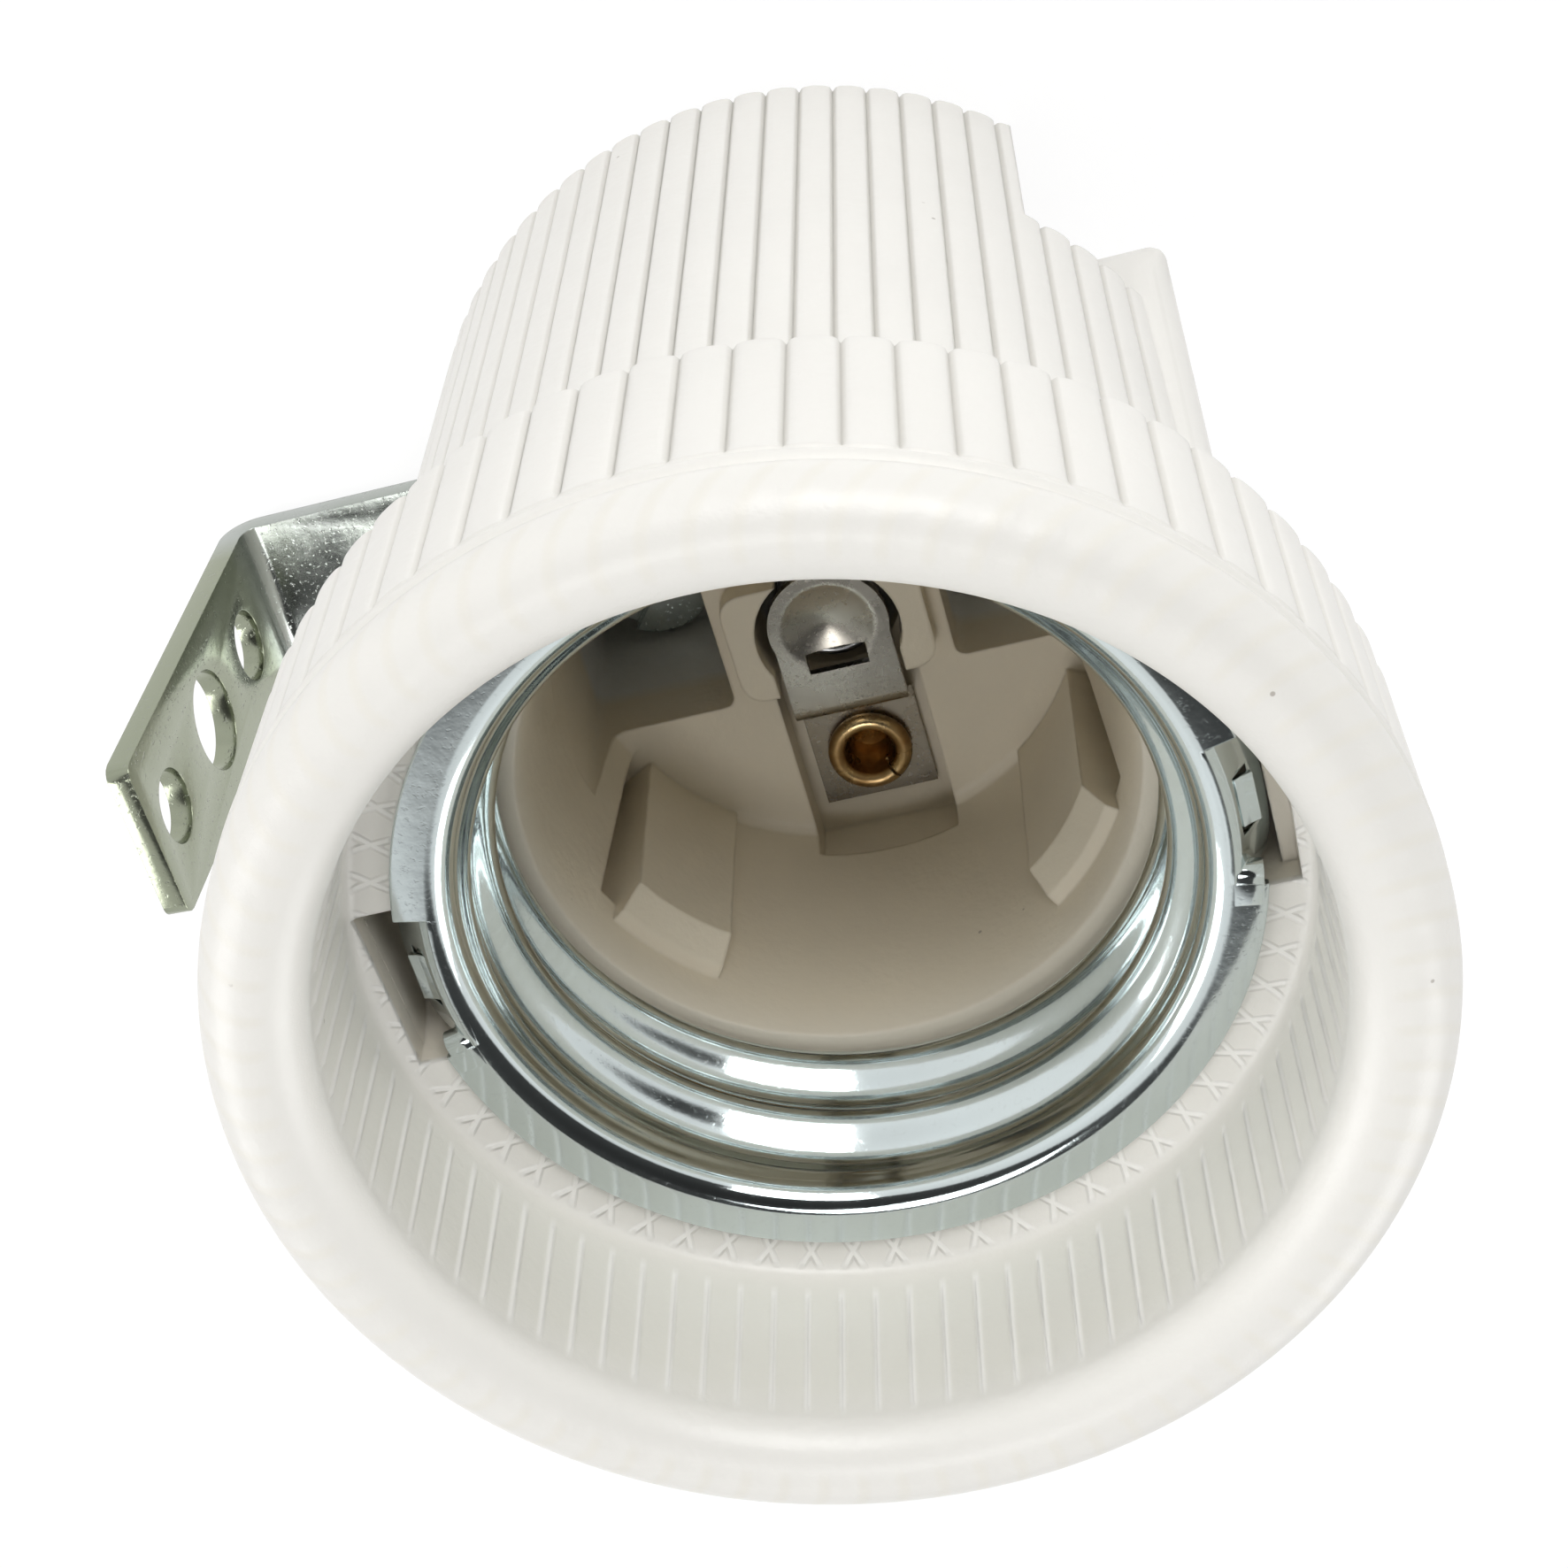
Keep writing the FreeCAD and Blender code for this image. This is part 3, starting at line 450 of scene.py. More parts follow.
def plated_material(name, colour, roughness=(0.10, 0.26), grain=0.006, speckle=0.5, edge=0.06,
                    tint=(0.62, 0.66, 0.60), painted_shade_band=None):
    """Zinc or nickel plate: bright metal with cloudy gloss, fine pitting and a faint yellow-green film.
    The last argument is (from, to, colour), a painted shade: the plate fades to that colour between two
    heights in millimetres and keeps it above them."""
    material, paint, shader = new_material(name)
    place = paint.coordinates()
    clouds = paint.ramp(paint.noise(place, 0.16, 4), [(0.35, 0.0), (0.7, 1.0)])
    film = paint.mix(paint.math("MULTIPLY", clouds, 0.35), colour, tint)
    pits = paint.ramp(paint.noise(place, 5.0, 2), [(0.60, 0.0), (0.70, 1.0)])
    # Painted shade: above the given heights the plate is painted the given darker colour.
    if painted_shade_band:
        start, end, shade = painted_shade_band
        height = paint.add("ShaderNodeSeparateXYZ", {"Vector": place}).outputs[2]
        film = paint.mix(paint.band(height, start * MM, end * MM), film, shade)
    film = paint.mix(paint.math("MULTIPLY", pits, speckle * 0.4), film, (0.33, 0.33, 0.33))
    paint.tree.links.new(film, shader.inputs["Base Color"])
    shader.inputs["Metallic"].default_value = 1.0
    gloss = paint.math("ADD", paint.math("MULTIPLY", paint.noise(place, 0.5, 4), 0.7),
                       paint.math("MULTIPLY", pits, 0.3))
    rough = paint.add("ShaderNodeMapRange", {"Value": gloss, "From Min": 0.2, "From Max": 0.75,
                                             "To Min": roughness[0], "To Max": roughness[1]})
    paint.tree.links.new(rough.outputs[0], shader.inputs["Roughness"])
    height = paint.math("ADD", paint.noise(place, 1.2, 3), paint.math("MULTIPLY", pits, -speckle))
    set_normal(paint, shader, height, grain, edge)
    return material


def brass_material(name, colour, edge=0.08):
    """Dull brass with brown tarnish in its hollows."""
    material, paint, shader = new_material(name)
    place = paint.coordinates()
    stain = paint.ramp(paint.noise(place, 0.7, 4), [(0.38, 0.0), (0.68, 1.0)])
    shade = paint.mix(stain, colour, [c * f for c, f in zip(colour, (0.62, 0.52, 0.42))])
    paint.tree.links.new(shade, shader.inputs["Base Color"])
    shader.inputs["Metallic"].default_value = 1.0
    rough = paint.add("ShaderNodeMapRange", {"Value": stain, "To Min": 0.22, "To Max": 0.42})
    paint.tree.links.new(rough.outputs[0], shader.inputs["Roughness"])
    set_normal(paint, shader, paint.noise(place, 2.5, 3), 0.012, edge)
    return material


# ------------------------------------------------------------------ porcelain body

RING_COUNT = 912          # columns of the body's skin


def snapped_angles(count, phase, columns=RING_COUNT):
    """Column angles in radians, stretched so that `count` grooves starting at phase fall on columns."""
    groove = np.round(np.arange(count + 1) * columns / count)
    spread = np.interp(np.arange(columns), groove, np.arange(count + 1) / count)
    return spread * TURN + math.radians(phase % (360.0 / count)), groove[:-1].astype(int)


def scallop(count, columns=RING_COUNT):
    """Depth share per column: 1 in each groove and 0 on the crown of each convex rib."""
    groove = np.round(np.arange(count + 1) * columns / count)
    share = np.interp(np.arange(columns), groove, np.arange(count + 1))
    local = np.abs((share % 1.0) * 2 - 1)
    return 0.3 * local ** 2 + 0.7 * local ** 9


def arc(cx, cz, radius, start, end, steps):
    """(r, z) points on an arc from start to end degrees."""
    a = np.radians(np.linspace(start, end, steps))
    return [(cx + radius * math.cos(t), cz + radius * math.sin(t)) for t in a]


def body_skin(sizes):
    """Rings of the body's skin, from the centre of the rear face up the outside, over the lip, down the
    inside and in to the centre of the floor."""
    depth = sizes.rib_depth / MM
    rear_angle, _ = snapped_angles(sizes.rear_ribs, sizes.rear_phase)
    skirt_angle, _ = snapped_angles(sizes.skirt_ribs, sizes.skirt_phase)
    line_angle, lines = snapped_angles(LINE_COUNT, sizes.line_phase)
    rear_cut, skirt_cut = scallop(sizes.rear_ribs), scallop(sizes.skirt_ribs)
    line = np.zeros(RING_COUNT)
    line[lines] = 1.0
    rings = []

    def ring(r, z, angle, cut=0.0):
        rings.append(polar(r - cut, angle, np.full(RING_COUNT, z)))

    for r, z in [(8.0, 0.0), (16.7, 0.0)]:
        ring(r, z, rear_angle)
    for r, z in arc(16.85, 0.45, 0.45, -80, 0, 6):
        ring(r, z, rear_angle, depth * rear_cut * min(1.0, (r - 16.7) / 0.4))
    for z in np.linspace(2.0, STEP_Z - 0.25, 6):
        ring(17.3 + 0.5 * z / STEP_Z, z, rear_angle, depth * rear_cut)
    ring(17.86, STEP_Z - 0.08, rear_angle, depth * 0.8 * rear_cut)
    ring(18.0, STEP_Z, rear_angle, depth * 0.5 * rear_cut)
    ring(19.4, STEP_Z, (rear_angle + skirt_angle) / 2)
    for r, z in arc(20.34, STEP_Z + 0.4, 0.4, -90, -5, 5):
        ring(r, z, skirt_angle, depth * skirt_cut * min(1.0, (r - 20.3) / 0.3))
    for z in np.linspace(34.4, 41.6, 5):
        ring(20.74 + 0.16 * (z - 34) / 8, z, skirt_angle, depth * skirt_cut)
    for z, share in ((41.9, 0.95), (42.1, 0.75), (42.25, 0.3)):
        ring(20.9, z, skirt_angle, depth * share * skirt_cut)
    for r, z in arc(20.62, 42.7, 0.33, -65, 65, 6):
        ring(r, z, skirt_angle)
    ring(20.72, 43.08, skirt_angle)
    for r, z in arc(19.1, 43.6, 1.82, -8, 92, 14):
        ring(r, z, skirt_angle)
    for r, z in arc(19.0, 43.6, 1.8, 94, 178, 10):
        ring(r, z, line_angle)
    for z, share in ((43.5, 0.0), (43.1, 1.0), (40.5, 1.0), (37.6, 1.0), (37.1, 0.0), (36.7, 0.0)):
        r = 17.1 + 0.12 * (z - 36.5) / 7
        ring(r, z, line_angle, sizes.line_height / MM * share * line)
    for r, z in arc(16.65, LEDGE_Z + 0.5, 0.5, 0, -90, 5):
        ring(r, z, line_angle)
    for r, z in [(15.9, LEDGE_Z), (14.4, LEDGE_Z), (13.9, LEDGE_Z - 0.45), (13.9, 28.15), (13.8, 28.0),
                 (12.2, 28.0), (11.78, 27.95), (11.7, 27.8), (11.2, 22.5), (10.72, 17.5), (10.5, 15.9),
                 (10.38, 15.55), (10.1, 15.38), (9.8, FLOOR_Z), (6.0, FLOOR_Z)]:
        ring(r, z, line_angle)
    return np.array(rings)


def pad_part():
    """Pad on the outside: rings up its height whose outline grows out of a well rounded rear edge."""
    rings = []
    for t in np.linspace(0.06, 1.0, 9):
        fall = PAD_REAR_ROUND * (1 - math.sin(t * math.pi / 2))
        rise = PAD_REAR_ROUND * (1 - math.cos(t * math.pi / 2))
        inset = min(fall, 1.6)
        verts, _ = rounded_block(-PAD_X + fall, -PAD_BACK_X, -PAD_HALF + inset, PAD_HALF - inset,
                                 0, 1, 0.5)
        rings.append(np.column_stack([verts[:24, :2], np.full(24, PAD_REAR_Z + rise)]))
    top, _ = rounded_block(-PAD_X, -PAD_BACK_X, -PAD_HALF, PAD_HALF, 0, 1, 1.4)
    for z in (PAD_REAR_Z + 4.5, STEP_Z + 0.4):
        rings.append(np.column_stack([top[:24, :2], np.full(24, z)]))
    return turned(np.array(rings))


def body_additions():
    """Pad, the two guide blocks and the boss round the spring well."""
    guide = wedge([(10.1, FLOOR_Z - 0.5), (12.4, FLOOR_Z - 0.5), (12.4, 26.0), (10.95, 25.5), (10.1, 24.4)],
                  28, 53)
    boss = rounded_block(-4.1, 4.1, -2.55, 2.45, FLOOR_Z - 0.5, FLOOR_Z + 1.2, 0.95)
    return [pad_part(), guide, mirror_x(guide), boss]


def lug_pocket(deep_x):
    """Pocket in the ledge whose +Y end ramps up softly, as rings from its -Y wall. Its floor steps up
    beyond deep_x."""
    sections = ((-POCKET_HALF, 31.0), (1.9, 31.0), (2.6, 31.5), (3.1, 32.8), (POCKET_HALF, 34.2))
    rings = []
    for y, floor in sections:
        shelf = max(POCKET_SHELF_Z, floor + 0.3)
        wall = POCKET_OUT_X - 0.05 * (y + POCKET_HALF)
        step = min(deep_x, wall - 0.02)
        rings.append([(POCKET_IN_X, y, floor), (step, y, floor), (step, y, shelf), (wall, y, shelf),
                      (wall, y, 36.6), (POCKET_IN_X, y, 36.6)])
    return turned(np.array(rings))


def body_cuts():
    """Everything pressed into the body: rear chambers, wire cut-out, grooves, pockets and holes."""
    web = 4.9
    chamber = []
    for side in (1, -1):
        half = block(-40, 40, web, 40, -1, SLAB_REAR_Z)
        chamber.append(half if side > 0 else mirror_y(half))
    wall = wedge([(14.4, -2), (40, -2), (40, SLAB_REAR_Z + 1), (14.4, SLAB_REAR_Z + 1)], -131, 131, 160)
    pad_flat = block(-40, -PAD_X, -7.1, 7.1, -1, STEP_Z - 0.02)
    behind = block(-40, -PAD_BACK_X, -9.8, 9.8, -1, PAD_REAR_Z + PAD_REAR_ROUND)
    slot = block(-2.65, 2.65, 0.0, 2.6, GROOVE_Z, 20)
    contact_groove = block(-3.0, 3.0, 2.45, 11.0, GROOVE_Z, FLOOR_Z + 1.3)
    lead_floor = block(-2.75, 2.75, -14.45, -3.1, GROOVE_Z, FLOOR_Z + 0.2)
    lead_wall = block(-2.75, 2.75, -14.45, -9.4, GROOVE_Z, 31.5)
    pocket = rounded_block(4.7, 10.9, -3.0, 3.0, 5.4, FLOOR_Z + 1.2, 0.5)
    high_pocket = rounded_block(4.7, 10.9, -3.0, 3.0, FLOOR_Z - 1, 20.0, 0.5)
    guide_slot = wedge([(9.9, FLOOR_Z), (12.4, FLOOR_Z), (12.4, 24.7), (9.9, 24.7)], 23.5, 28.0, 8)
    channel = block(-11.2, 40, -3.875, 3.875, -1, 1.4)
    well = rod(WELL_R, WELL_FLOOR_Z, 20)
    cuts = [pad_flat, behind, slot, contact_groove, lead_floor, lead_wall, pocket, mirror_x(pocket),
            high_pocket, mirror_x(high_pocket), guide_slot, mirror_x(guide_slot), lug_pocket(POCKET_OUT_X),
            mirror_x(lug_pocket(POCKET_PAD_X)),
            channel, well]
    for side in (1, -1):
        cuts += [rod(RIVET_HOLE_R, SLAB_REAR_Z - 1, 14, 0, side * RIVET_Y, 32),
                 rod(2.05, SLAB_REAR_Z - 1, 13.1, SCREW_X, side * SCREW_Y, 40),
                 rod(1.75, 0, 6, side * BRACKET_SCREW_X, 0, 32)]
    return chamber, wall, cuts


def make_body(sizes, material):
    """Skin of rings, then the chambers, the pad and blocks, and the remaining cuts, in that order."""
    skin = turned(body_skin(sizes))
    body = raw_object("porcelain", skin)
    chambers, wall, cuts = body_cuts()
    tools = []
    for i, chamber in enumerate(chambers):
        tool = raw_object(f"chamber_{i}", chamber)
        tools.append(combine(tool, [wall], "DIFFERENCE"))
    for tool in tools:
        combine(body, [part_of(tool)], "DIFFERENCE")
        bpy.data.objects.remove(tool)
    combine(body, cuts[:2], "DIFFERENCE")
    combine(body, body_additions(), "UNION")
    combine(body, cuts[2:], "DIFFERENCE")
    return finish_piece(body, "holder", material, 32, ["porcelain_body"])


# ------------------------------------------------------------------ screw shell

PITCH = 3.629             # E27
CREST_R = 12.18
ROOT_R = 13.3
CREST_Z = 31.5            # height of a crest at azimuth 0
BEND = 0.65
NOTCH_DEG = 11.5
NOTCH_R = 14.25
FLAP_LENGTH = 2.4
FLAP_SLOPE = math.radians(55)
FLAP_W = 5.6


def shell_columns():
    """Azimuths of the shell's columns in radians, every degree, and close pairs at the notches' sides."""
    even = np.arange(0.0, 360.0, 1.0)
    sides = np.array([c + s * NOTCH_DEG + d for c in (0.0, 180.0) for s in (1, -1) for d in (-0.06, 0.06)])
    return np.radians(np.unique(np.concatenate([even, sides % 360.0])))


def thread_radius(angle, z, top):
    """Rounded thread between root and crest radius, fading to the root radius below the bend."""
    fade = np.clip((top - z) / 1.4, 0, 1)
    fade = fade * fade * (3 - 2 * fade)
    wave = (ROOT_R + CREST_R) / 2 - (ROOT_R - CREST_R) / 2 * np.cos(TURN * (z - CREST_Z) / PITCH - angle)
    return ROOT_R + (wave - ROOT_R) * fade


def shell_skin():
    """Closed sheet: thread inside, bend, flange, flange underside, bend and thread outside."""
    angle = shell_columns()
    low, top = float(SHELL_LOW[2]), FLANGE_Z - SHEET - BEND
    heights = np.linspace(low, top, 64)
    tiny = 1e-3
    degrees = np.degrees(angle)
    off = np.minimum(np.abs((degrees + 90) % 180 - 90), 90)
    rim = np.where(off < NOTCH_DEG, NOTCH_R + 0.1, float(SHELL_HIGH[1]))

    def wall(z, thickness):
        slope = (thread_radius(angle, z + tiny, top) - thread_radius(angle, z - tiny, top)) / (2 * tiny)
        stretch = np.sqrt(1 + slope ** 2)
        radius = thread_radius(angle, z, top) + thickness / stretch
        height = z - thickness * slope / stretch
        if z in (heights[0], heights[-1]):
            height = np.full_like(angle, z)
        return polar(radius, angle, height)

    rings = [wall(z, 0.0) for z in heights]
    centre_r, centre_z = ROOT_R + SHEET + BEND, top
    for a in np.radians(np.linspace(170, 90, 9)):
        rings.append(polar(centre_r + (BEND + SHEET) * math.cos(a), angle,
                           np.full_like(angle, centre_z + (BEND + SHEET) * math.sin(a))))
    lip = 0.06
    rings.append(polar(rim - lip, angle, np.full_like(angle, FLANGE_Z)))
    rings.append(polar(rim, angle, np.full_like(angle, FLANGE_Z - lip)))
    rings.append(polar(rim, angle, np.full_like(angle, FLANGE_Z - SHEET + lip)))
    rings.append(polar(rim - lip, angle, np.full_like(angle, FLANGE_Z - SHEET)))
    for a in np.radians(np.linspace(90, 170, 7)):
        rings.append(polar(centre_r + BEND * math.cos(a), angle,
                           np.full_like(angle, centre_z + BEND * math.sin(a))))
    rings += [wall(z, SHEET) for z in heights[::-1]]
    return hoop(np.array(rings))


def sheet_strip(path, width, thickness, across=2):
    """Closed strip whose centre line is the (a, z) path, `width` wide across the third direction.
    Returns rings in (a, across, z) order."""
    path = np.array(path, float)
    step = np.gradient(path, axis=0)
    step /= np.linalg.norm(step, axis=1)[:, None]
    normal = np.stack([-step[:, 1], step[:, 0]], -1) * thickness / 2
    t = np.linspace(-0.5, 0.5, across) * width
    upper, lower = path + normal, path - normal
    rings = []
    for up, down in zip(upper, lower):
        top = np.column_stack([np.full(across, up[0]), t, np.full(across, up[1])])
        low = np.column_stack([np.full(across, down[0]), t[::-1], np.full(across, down[1])])
        rings.append(np.concatenate([top, low]))
    return np.array(rings)


def rounded_ends(rings, radius):
    """Rings of a strip narrowed along a quarter circle towards its last one."""
    centre = rings[:, :, [0, 2]].mean(1)
    left = np.linalg.norm(centre - centre[-1], axis=1)
    widest = np.abs(rings[0, :, 1]).max()
    inset = np.where(left < radius, radius - np.sqrt(np.maximum(radius ** 2 - (radius - left) ** 2, 0)), 0)
    out = rings.copy()
    out[:, :, 1] *= (1 - inset / widest)[:, None]
    return out


def rounded_path(points, radius, steps=8):
    """Polyline with each inner corner replaced by an arc of the given radius."""
    points = [np.array(p, float) for p in points]
    out = [points[0]]
    for before, here, after in zip(points, points[1:], points[2:]):
        u, v = before - here, after - here
        u, v = u / np.linalg.norm(u), v / np.linalg.norm(v)
        half = math.acos(float(np.clip(u @ v, -1, 1))) / 2
        back = radius / math.tan(half)
        centre = here + (u + v) / np.linalg.norm(u + v) * radius / math.sin(half)
        start, end = here + u * back - centre, here + v * back - centre
        turn = math.acos(float(np.clip(start @ end / radius ** 2, -1, 1)))
        for k in range(steps + 1):
            s = k / steps
            swung = start * math.sin((1 - s) * turn) + end * math.sin(s * turn)
            out.append(centre + swung / math.sin(turn))
    out.append(points[-1])
    return out


def shell_lug():
    """Flap that slopes into the pocket, with its window and tongue, and the rolled corner."""
    middle = FLANGE_Z - SHEET / 2
    end = (NOTCH_R + FLAP_LENGTH * math.cos(FLAP_SLOPE), middle - FLAP_LENGTH * math.sin(FLAP_SLOPE))
    path = rounded_path([(NOTCH_R - 0.1, middle - 0.02), (NOTCH_R + 0.15, middle - 0.02), end], 0.35)
    last, tip = np.array(path[-2]), np.array(path[-1])
    path = path[:-1] + [last + (tip - last) * t for t in (0.5, 0.7, 0.8, 0.88, 0.94, 0.98, 1.0)]
    rings = rounded_ends(sheet_strip(path, FLAP_W, SHEET, 13), 0.8)
    rings[:, :, 0] -= NOTCH_R - np.sqrt(NOTCH_R ** 2 - rings[:, :, 1] ** 2)
    flap = raw_object("lug_flap", turned(rings))
    window = block(NOTCH_R + 0.45, NOTCH_R + 1.0, -1.2, 1.2, FLANGE_Z - 3, FLANGE_Z - 0.3)
    combine(flap, [window], "DIFFERENCE")
    bevelled(flap, 0.05)
    tongue_path = rounded_path([(NOTCH_R + 0.45, FLANGE_Z - 0.75), (NOTCH_R + 0.75, FLANGE_Z - 0.95),
                                (NOTCH_R + 1.15, FLANGE_Z - 1.1)], 0.4)
    tongue = raw_object("lug_tongue", turned(sheet_strip(tongue_path, 2.0, SHEET * 0.7)))
    bevelled(tongue, 0.04)
    turn = np.radians(np.linspace(90, -200, 22))
    roll_r = 0.5 - SHEET / 2
    roll = [(-1.1, roll_r)] + [(roll_r * math.cos(a), roll_r * math.sin(a)) for a in turn]
    strip = sheet_strip(roll, 1.05, SHEET * 0.9)
    points = np.stack([strip[..., 1] + NOTCH_R + 0.55, -strip[..., 0], strip[..., 2] + FLANGE_Z - 0.5], -1)
    curl = raw_object("lug_curl", turned(points))
    bevelled(curl, 0.04)
    curl.data.transform(Matrix.Rotation(math.radians(10.6), 4, "Z"))
    return [flap, tongue, curl]


def join_into(obj, others):
    """Adds the meshes of other objects to obj and removes them."""
    verts, faces = joined(*[part_of(other) for other in [obj] + others])
    mesh = bpy.data.meshes.new(obj.name)
    mesh.from_pydata((verts * MM).tolist(), [], faces)
    obj.data = mesh
    for other in others:
        bpy.data.objects.remove(other)
    return obj


def make_shell(material):
    """Threaded sheet with the same lug on both sides."""
    shell = raw_object("screw_shell_threaded", shell_skin())
    lugs = []
    for flip in (False, True):
        for part in shell_lug():
            if flip:
                part.data.transform(Matrix.Diagonal((-1, 1, 1, 1)))
                part.data.flip_normals()
            lugs.append(part)
    join_into(shell, lugs)
    return finish_piece(shell, "holder", material, 40, ["screw_shell"])


# ------------------------------------------------------------------ contacts

ARM_Z = float(STRIP_HIGH[2])
FOOT_Z = float(STRIP_LOW[2])
FOOT_END_Y = float(STRIP_HIGH[1])
HEAD_R = 2.5
DISH_R = 1.95
DISH_DEPTH = 0.4


def contact_skin():
    """Round dished head, arm, riser and foot as one sheet: rings across the strip, whose half width is
    the head's circle up to the arm's edge."""
    lift = STRIP_T / 2
    bend = rounded_path([(1.0, ARM_Z - lift), (3.9, ARM_Z - lift), (4.9, FOOT_Z + lift),
                         (FOOT_END_Y, FOOT_Z + lift)], 0.45)
    tip = -HEAD_R * np.cos(np.linspace(0.06, math.pi / 2, 26))
    head = [(y, ARM_Z - lift) for y in tip] + [(y, ARM_Z - lift) for y in np.linspace(0.1, 0.95, 9)]
    more = [(y, ARM_Z - lift) for y in np.linspace(1.1, 2.6, 15)]
    path = np.array(head + more + [p for p in bend if p[0] > 2.7], float)
    step = np.gradient(path, axis=0)
    step /= np.linalg.norm(step, axis=1)[:, None]
    normal = np.stack([-step[:, 1], step[:, 0]], -1) * lift
    half = np.where(path[:, 0] < 0.7, np.sqrt(np.maximum(HEAD_R ** 2 - path[:, 0] ** 2, 0.0)), STRIP_W / 2)
    half = np.maximum(half, 0.05)
    t = np.linspace(-1, 1, 49)
    rings = []
    for (y, z), (ny, nz), w in zip(path, normal, half):
        x = t * w
        drop = DISH_DEPTH * np.clip(1 - (np.hypot(x, y) / DISH_R) ** 1.6, 0, None)
        drop = drop if y < 2.2 else drop * 0
        top = np.column_stack([x, np.full_like(x, y + ny), z + nz - drop])
        low = np.column_stack([x, np.full_like(x, y - ny), z - nz - drop])[::-1]
        rings.append(np.concatenate([top, low]))
    return turned(np.array(rings))


def make_contact(material):
    """Sheet with its lanced slot and tab, and the rivet's hole."""
    strip = raw_object("contact_spring_strip", contact_skin())
    slot = block(-1.25, 1.25, 1.1, 2.0, 14.5, 17.0)
    combine(strip, [slot, rod(RIVET_HOLE_R, 13, 15, 0, RIVET_Y, 48)], "DIFFERENCE")
    tab = raw_object("contact_lance", block(-0.9, 0.9, 0.72, 1.1, ARM_Z - 1.2, ARM_Z - 0.35))
    bevelled(tab, 0.07)
    bevelled(strip, 0.035, 1, 50)
    join_into(strip, [tab])
    return finish_piece(strip, "contact", material, 40, ["contact_strip"])


def turned_profile(profile, columns=96):
    """Closed solid of revolution about Z from (radius, z) points that start and end near the axis."""
    a = np.arange(columns) * TURN / columns
    profile = np.array(profile, float)
    return turned(polar(profile[:, :1], a[None, :], profile[:, 1:]))


def rivet_profile(ring_z):
    """Domed rear head, shank, rolled ring on the strip and a bore that ends in a cone."""
    head = SLAB_REAR_Z - 1.0
    dome = [(0.2, head - 0.8), (1.2, head - 0.78), (1.7, head - 0.6), (1.95, head - 0.3), (2.0, head)]
    shank = [(1.2, head), (1.2, ring_z)]
    roll = [(1.62, ring_z)] + arc(1.42, ring_z + 0.33, 0.36, -50, 180, 18)
    bore = [(0.9, ring_z - 0.1), (0.8, ring_z - 0.6), (0.78, ring_z - 1.5), (0.1, ring_z - 2.2)]
    return dome + shank + roll + bore


def make_rivets(material):
    """The two rivets, each with a split in its rolled ring."""
    ring_z = FOOT_Z + STRIP_T
    for side, node in ((1, "contact_rivet"), (-1, "shell_rivet")):
        rivet = raw_object(node + "_rolled", turned_profile(rivet_profile(ring_z)))
        split = block(0.7, 2.2, -0.06, 0.06, ring_z - 0.05, ring_z + 1.0)
        turn = Matrix.Rotation(math.radians(125 if side > 0 else 40), 4, "Z")
        combine(rivet, [moved(split, turn)], "DIFFERENCE")
        rivet.data.transform(Matrix.Translation((0, side * RIVET_Y * MM, 0)))
        finish_piece(rivet, "holder", material, 40, [node])


def make_spring(material):
    """Round wire on a helix, closer at both ends."""
    wire, mean, turns = 0.225, 1.9, 7.0
    low, high = WELL_FLOOR_Z + wire, float(box_mm("contact_spring")[1][2]) - wire
    s = np.linspace(0, 1, 420)
    a = TURN * turns * s
    rise = low + (high - low) * (s - 0.035 * np.sin(TURN * s))
    centre = polar(mean, a, rise)
    tangent = np.gradient(centre, axis=0)
    tangent /= np.linalg.norm(tangent, axis=1)[:, None]
    outward_dir = np.stack([np.cos(a), np.sin(a), np.zeros_like(a)], -1)
    up = np.cross(tangent, outward_dir)
    b = np.arange(14) * TURN / 14
    rings = centre[:, None] + wire * (np.cos(b)[None, :, None] * outward_dir[:, None]
                                      + np.sin(b)[None, :, None] * up[:, None])
    spring = raw_object("contact_coil", turned(rings))
    finish_piece(spring, "holder", material, 60, ["contact_spring"])
    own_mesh(spring)
    return spring


def make_lead(material):
    """Strip from the shell's thread down to the rivet, with rounded bends."""
    low, high = box_mm("shell_lead")
    out_y = float(low[1]) + STRIP_T / 2
    path = rounded_path([(-4.9, 13.8), (out_y, 13.8), (out_y, float(high[2]))], 0.5)
    strip = sheet_strip(path, STRIP_W, STRIP_T)
    points = np.stack([strip[..., 1], strip[..., 0], strip[..., 2]], -1)
    lead = raw_object("shell_lead_bent", turned(points))
    combine(lead, [rod(RIVET_HOLE_R, 13, 15, 0, -RIVET_Y, 48)], "DIFFERENCE")
    bevelled(lead, 0.05)
    return finish_piece(lead, "holder", material, 35, ["shell_lead"])


# ------------------------------------------------------------------ terminals, screws and bracket

def screw_skin(major, pitch, length, head_r, head_h, columns=48):
    """Machine screw about Z: seat of the head at z 0, head above, threaded shank below."""
    a = np.arange(columns) * TURN / columns
    root = major - 0.61 * pitch
    rings = []
    for z in np.arange(-length, -0.3, pitch / 8):
        phase = (z / pitch - a / TURN) % 1.0
        tooth = 1 - np.abs(phase * 2 - 1)
        height = np.clip((tooth - 0.08) / 0.84, 0, 1)
        tip = min(1.0, 0.35 + (z + length) / (1.2 * pitch))
        rings.append(polar(root + (major - root) * height * tip, a, np.full_like(a, z)))
    rings.append(polar(np.full_like(a, root), a, np.full_like(a, -0.2)))
    rings.append(polar(np.full_like(a, root), a, np.zeros_like(a)))
    edge = 0.3
    rings.append(polar(np.full_like(a, head_r - 0.12), a, np.zeros_like(a)))
    rings.append(polar(np.full_like(a, head_r), a, np.full_like(a, 0.12)))
    for r, z in arc(head_r - edge, head_h - edge, edge, 0, 75, 6):
        rings.append(polar(np.full_like(a, r), a, np.full_like(a, z)))
    rings.append(polar(np.full_like(a, head_r * 0.5), a, np.full_like(a, head_h)))
    return turned(np.array(rings))


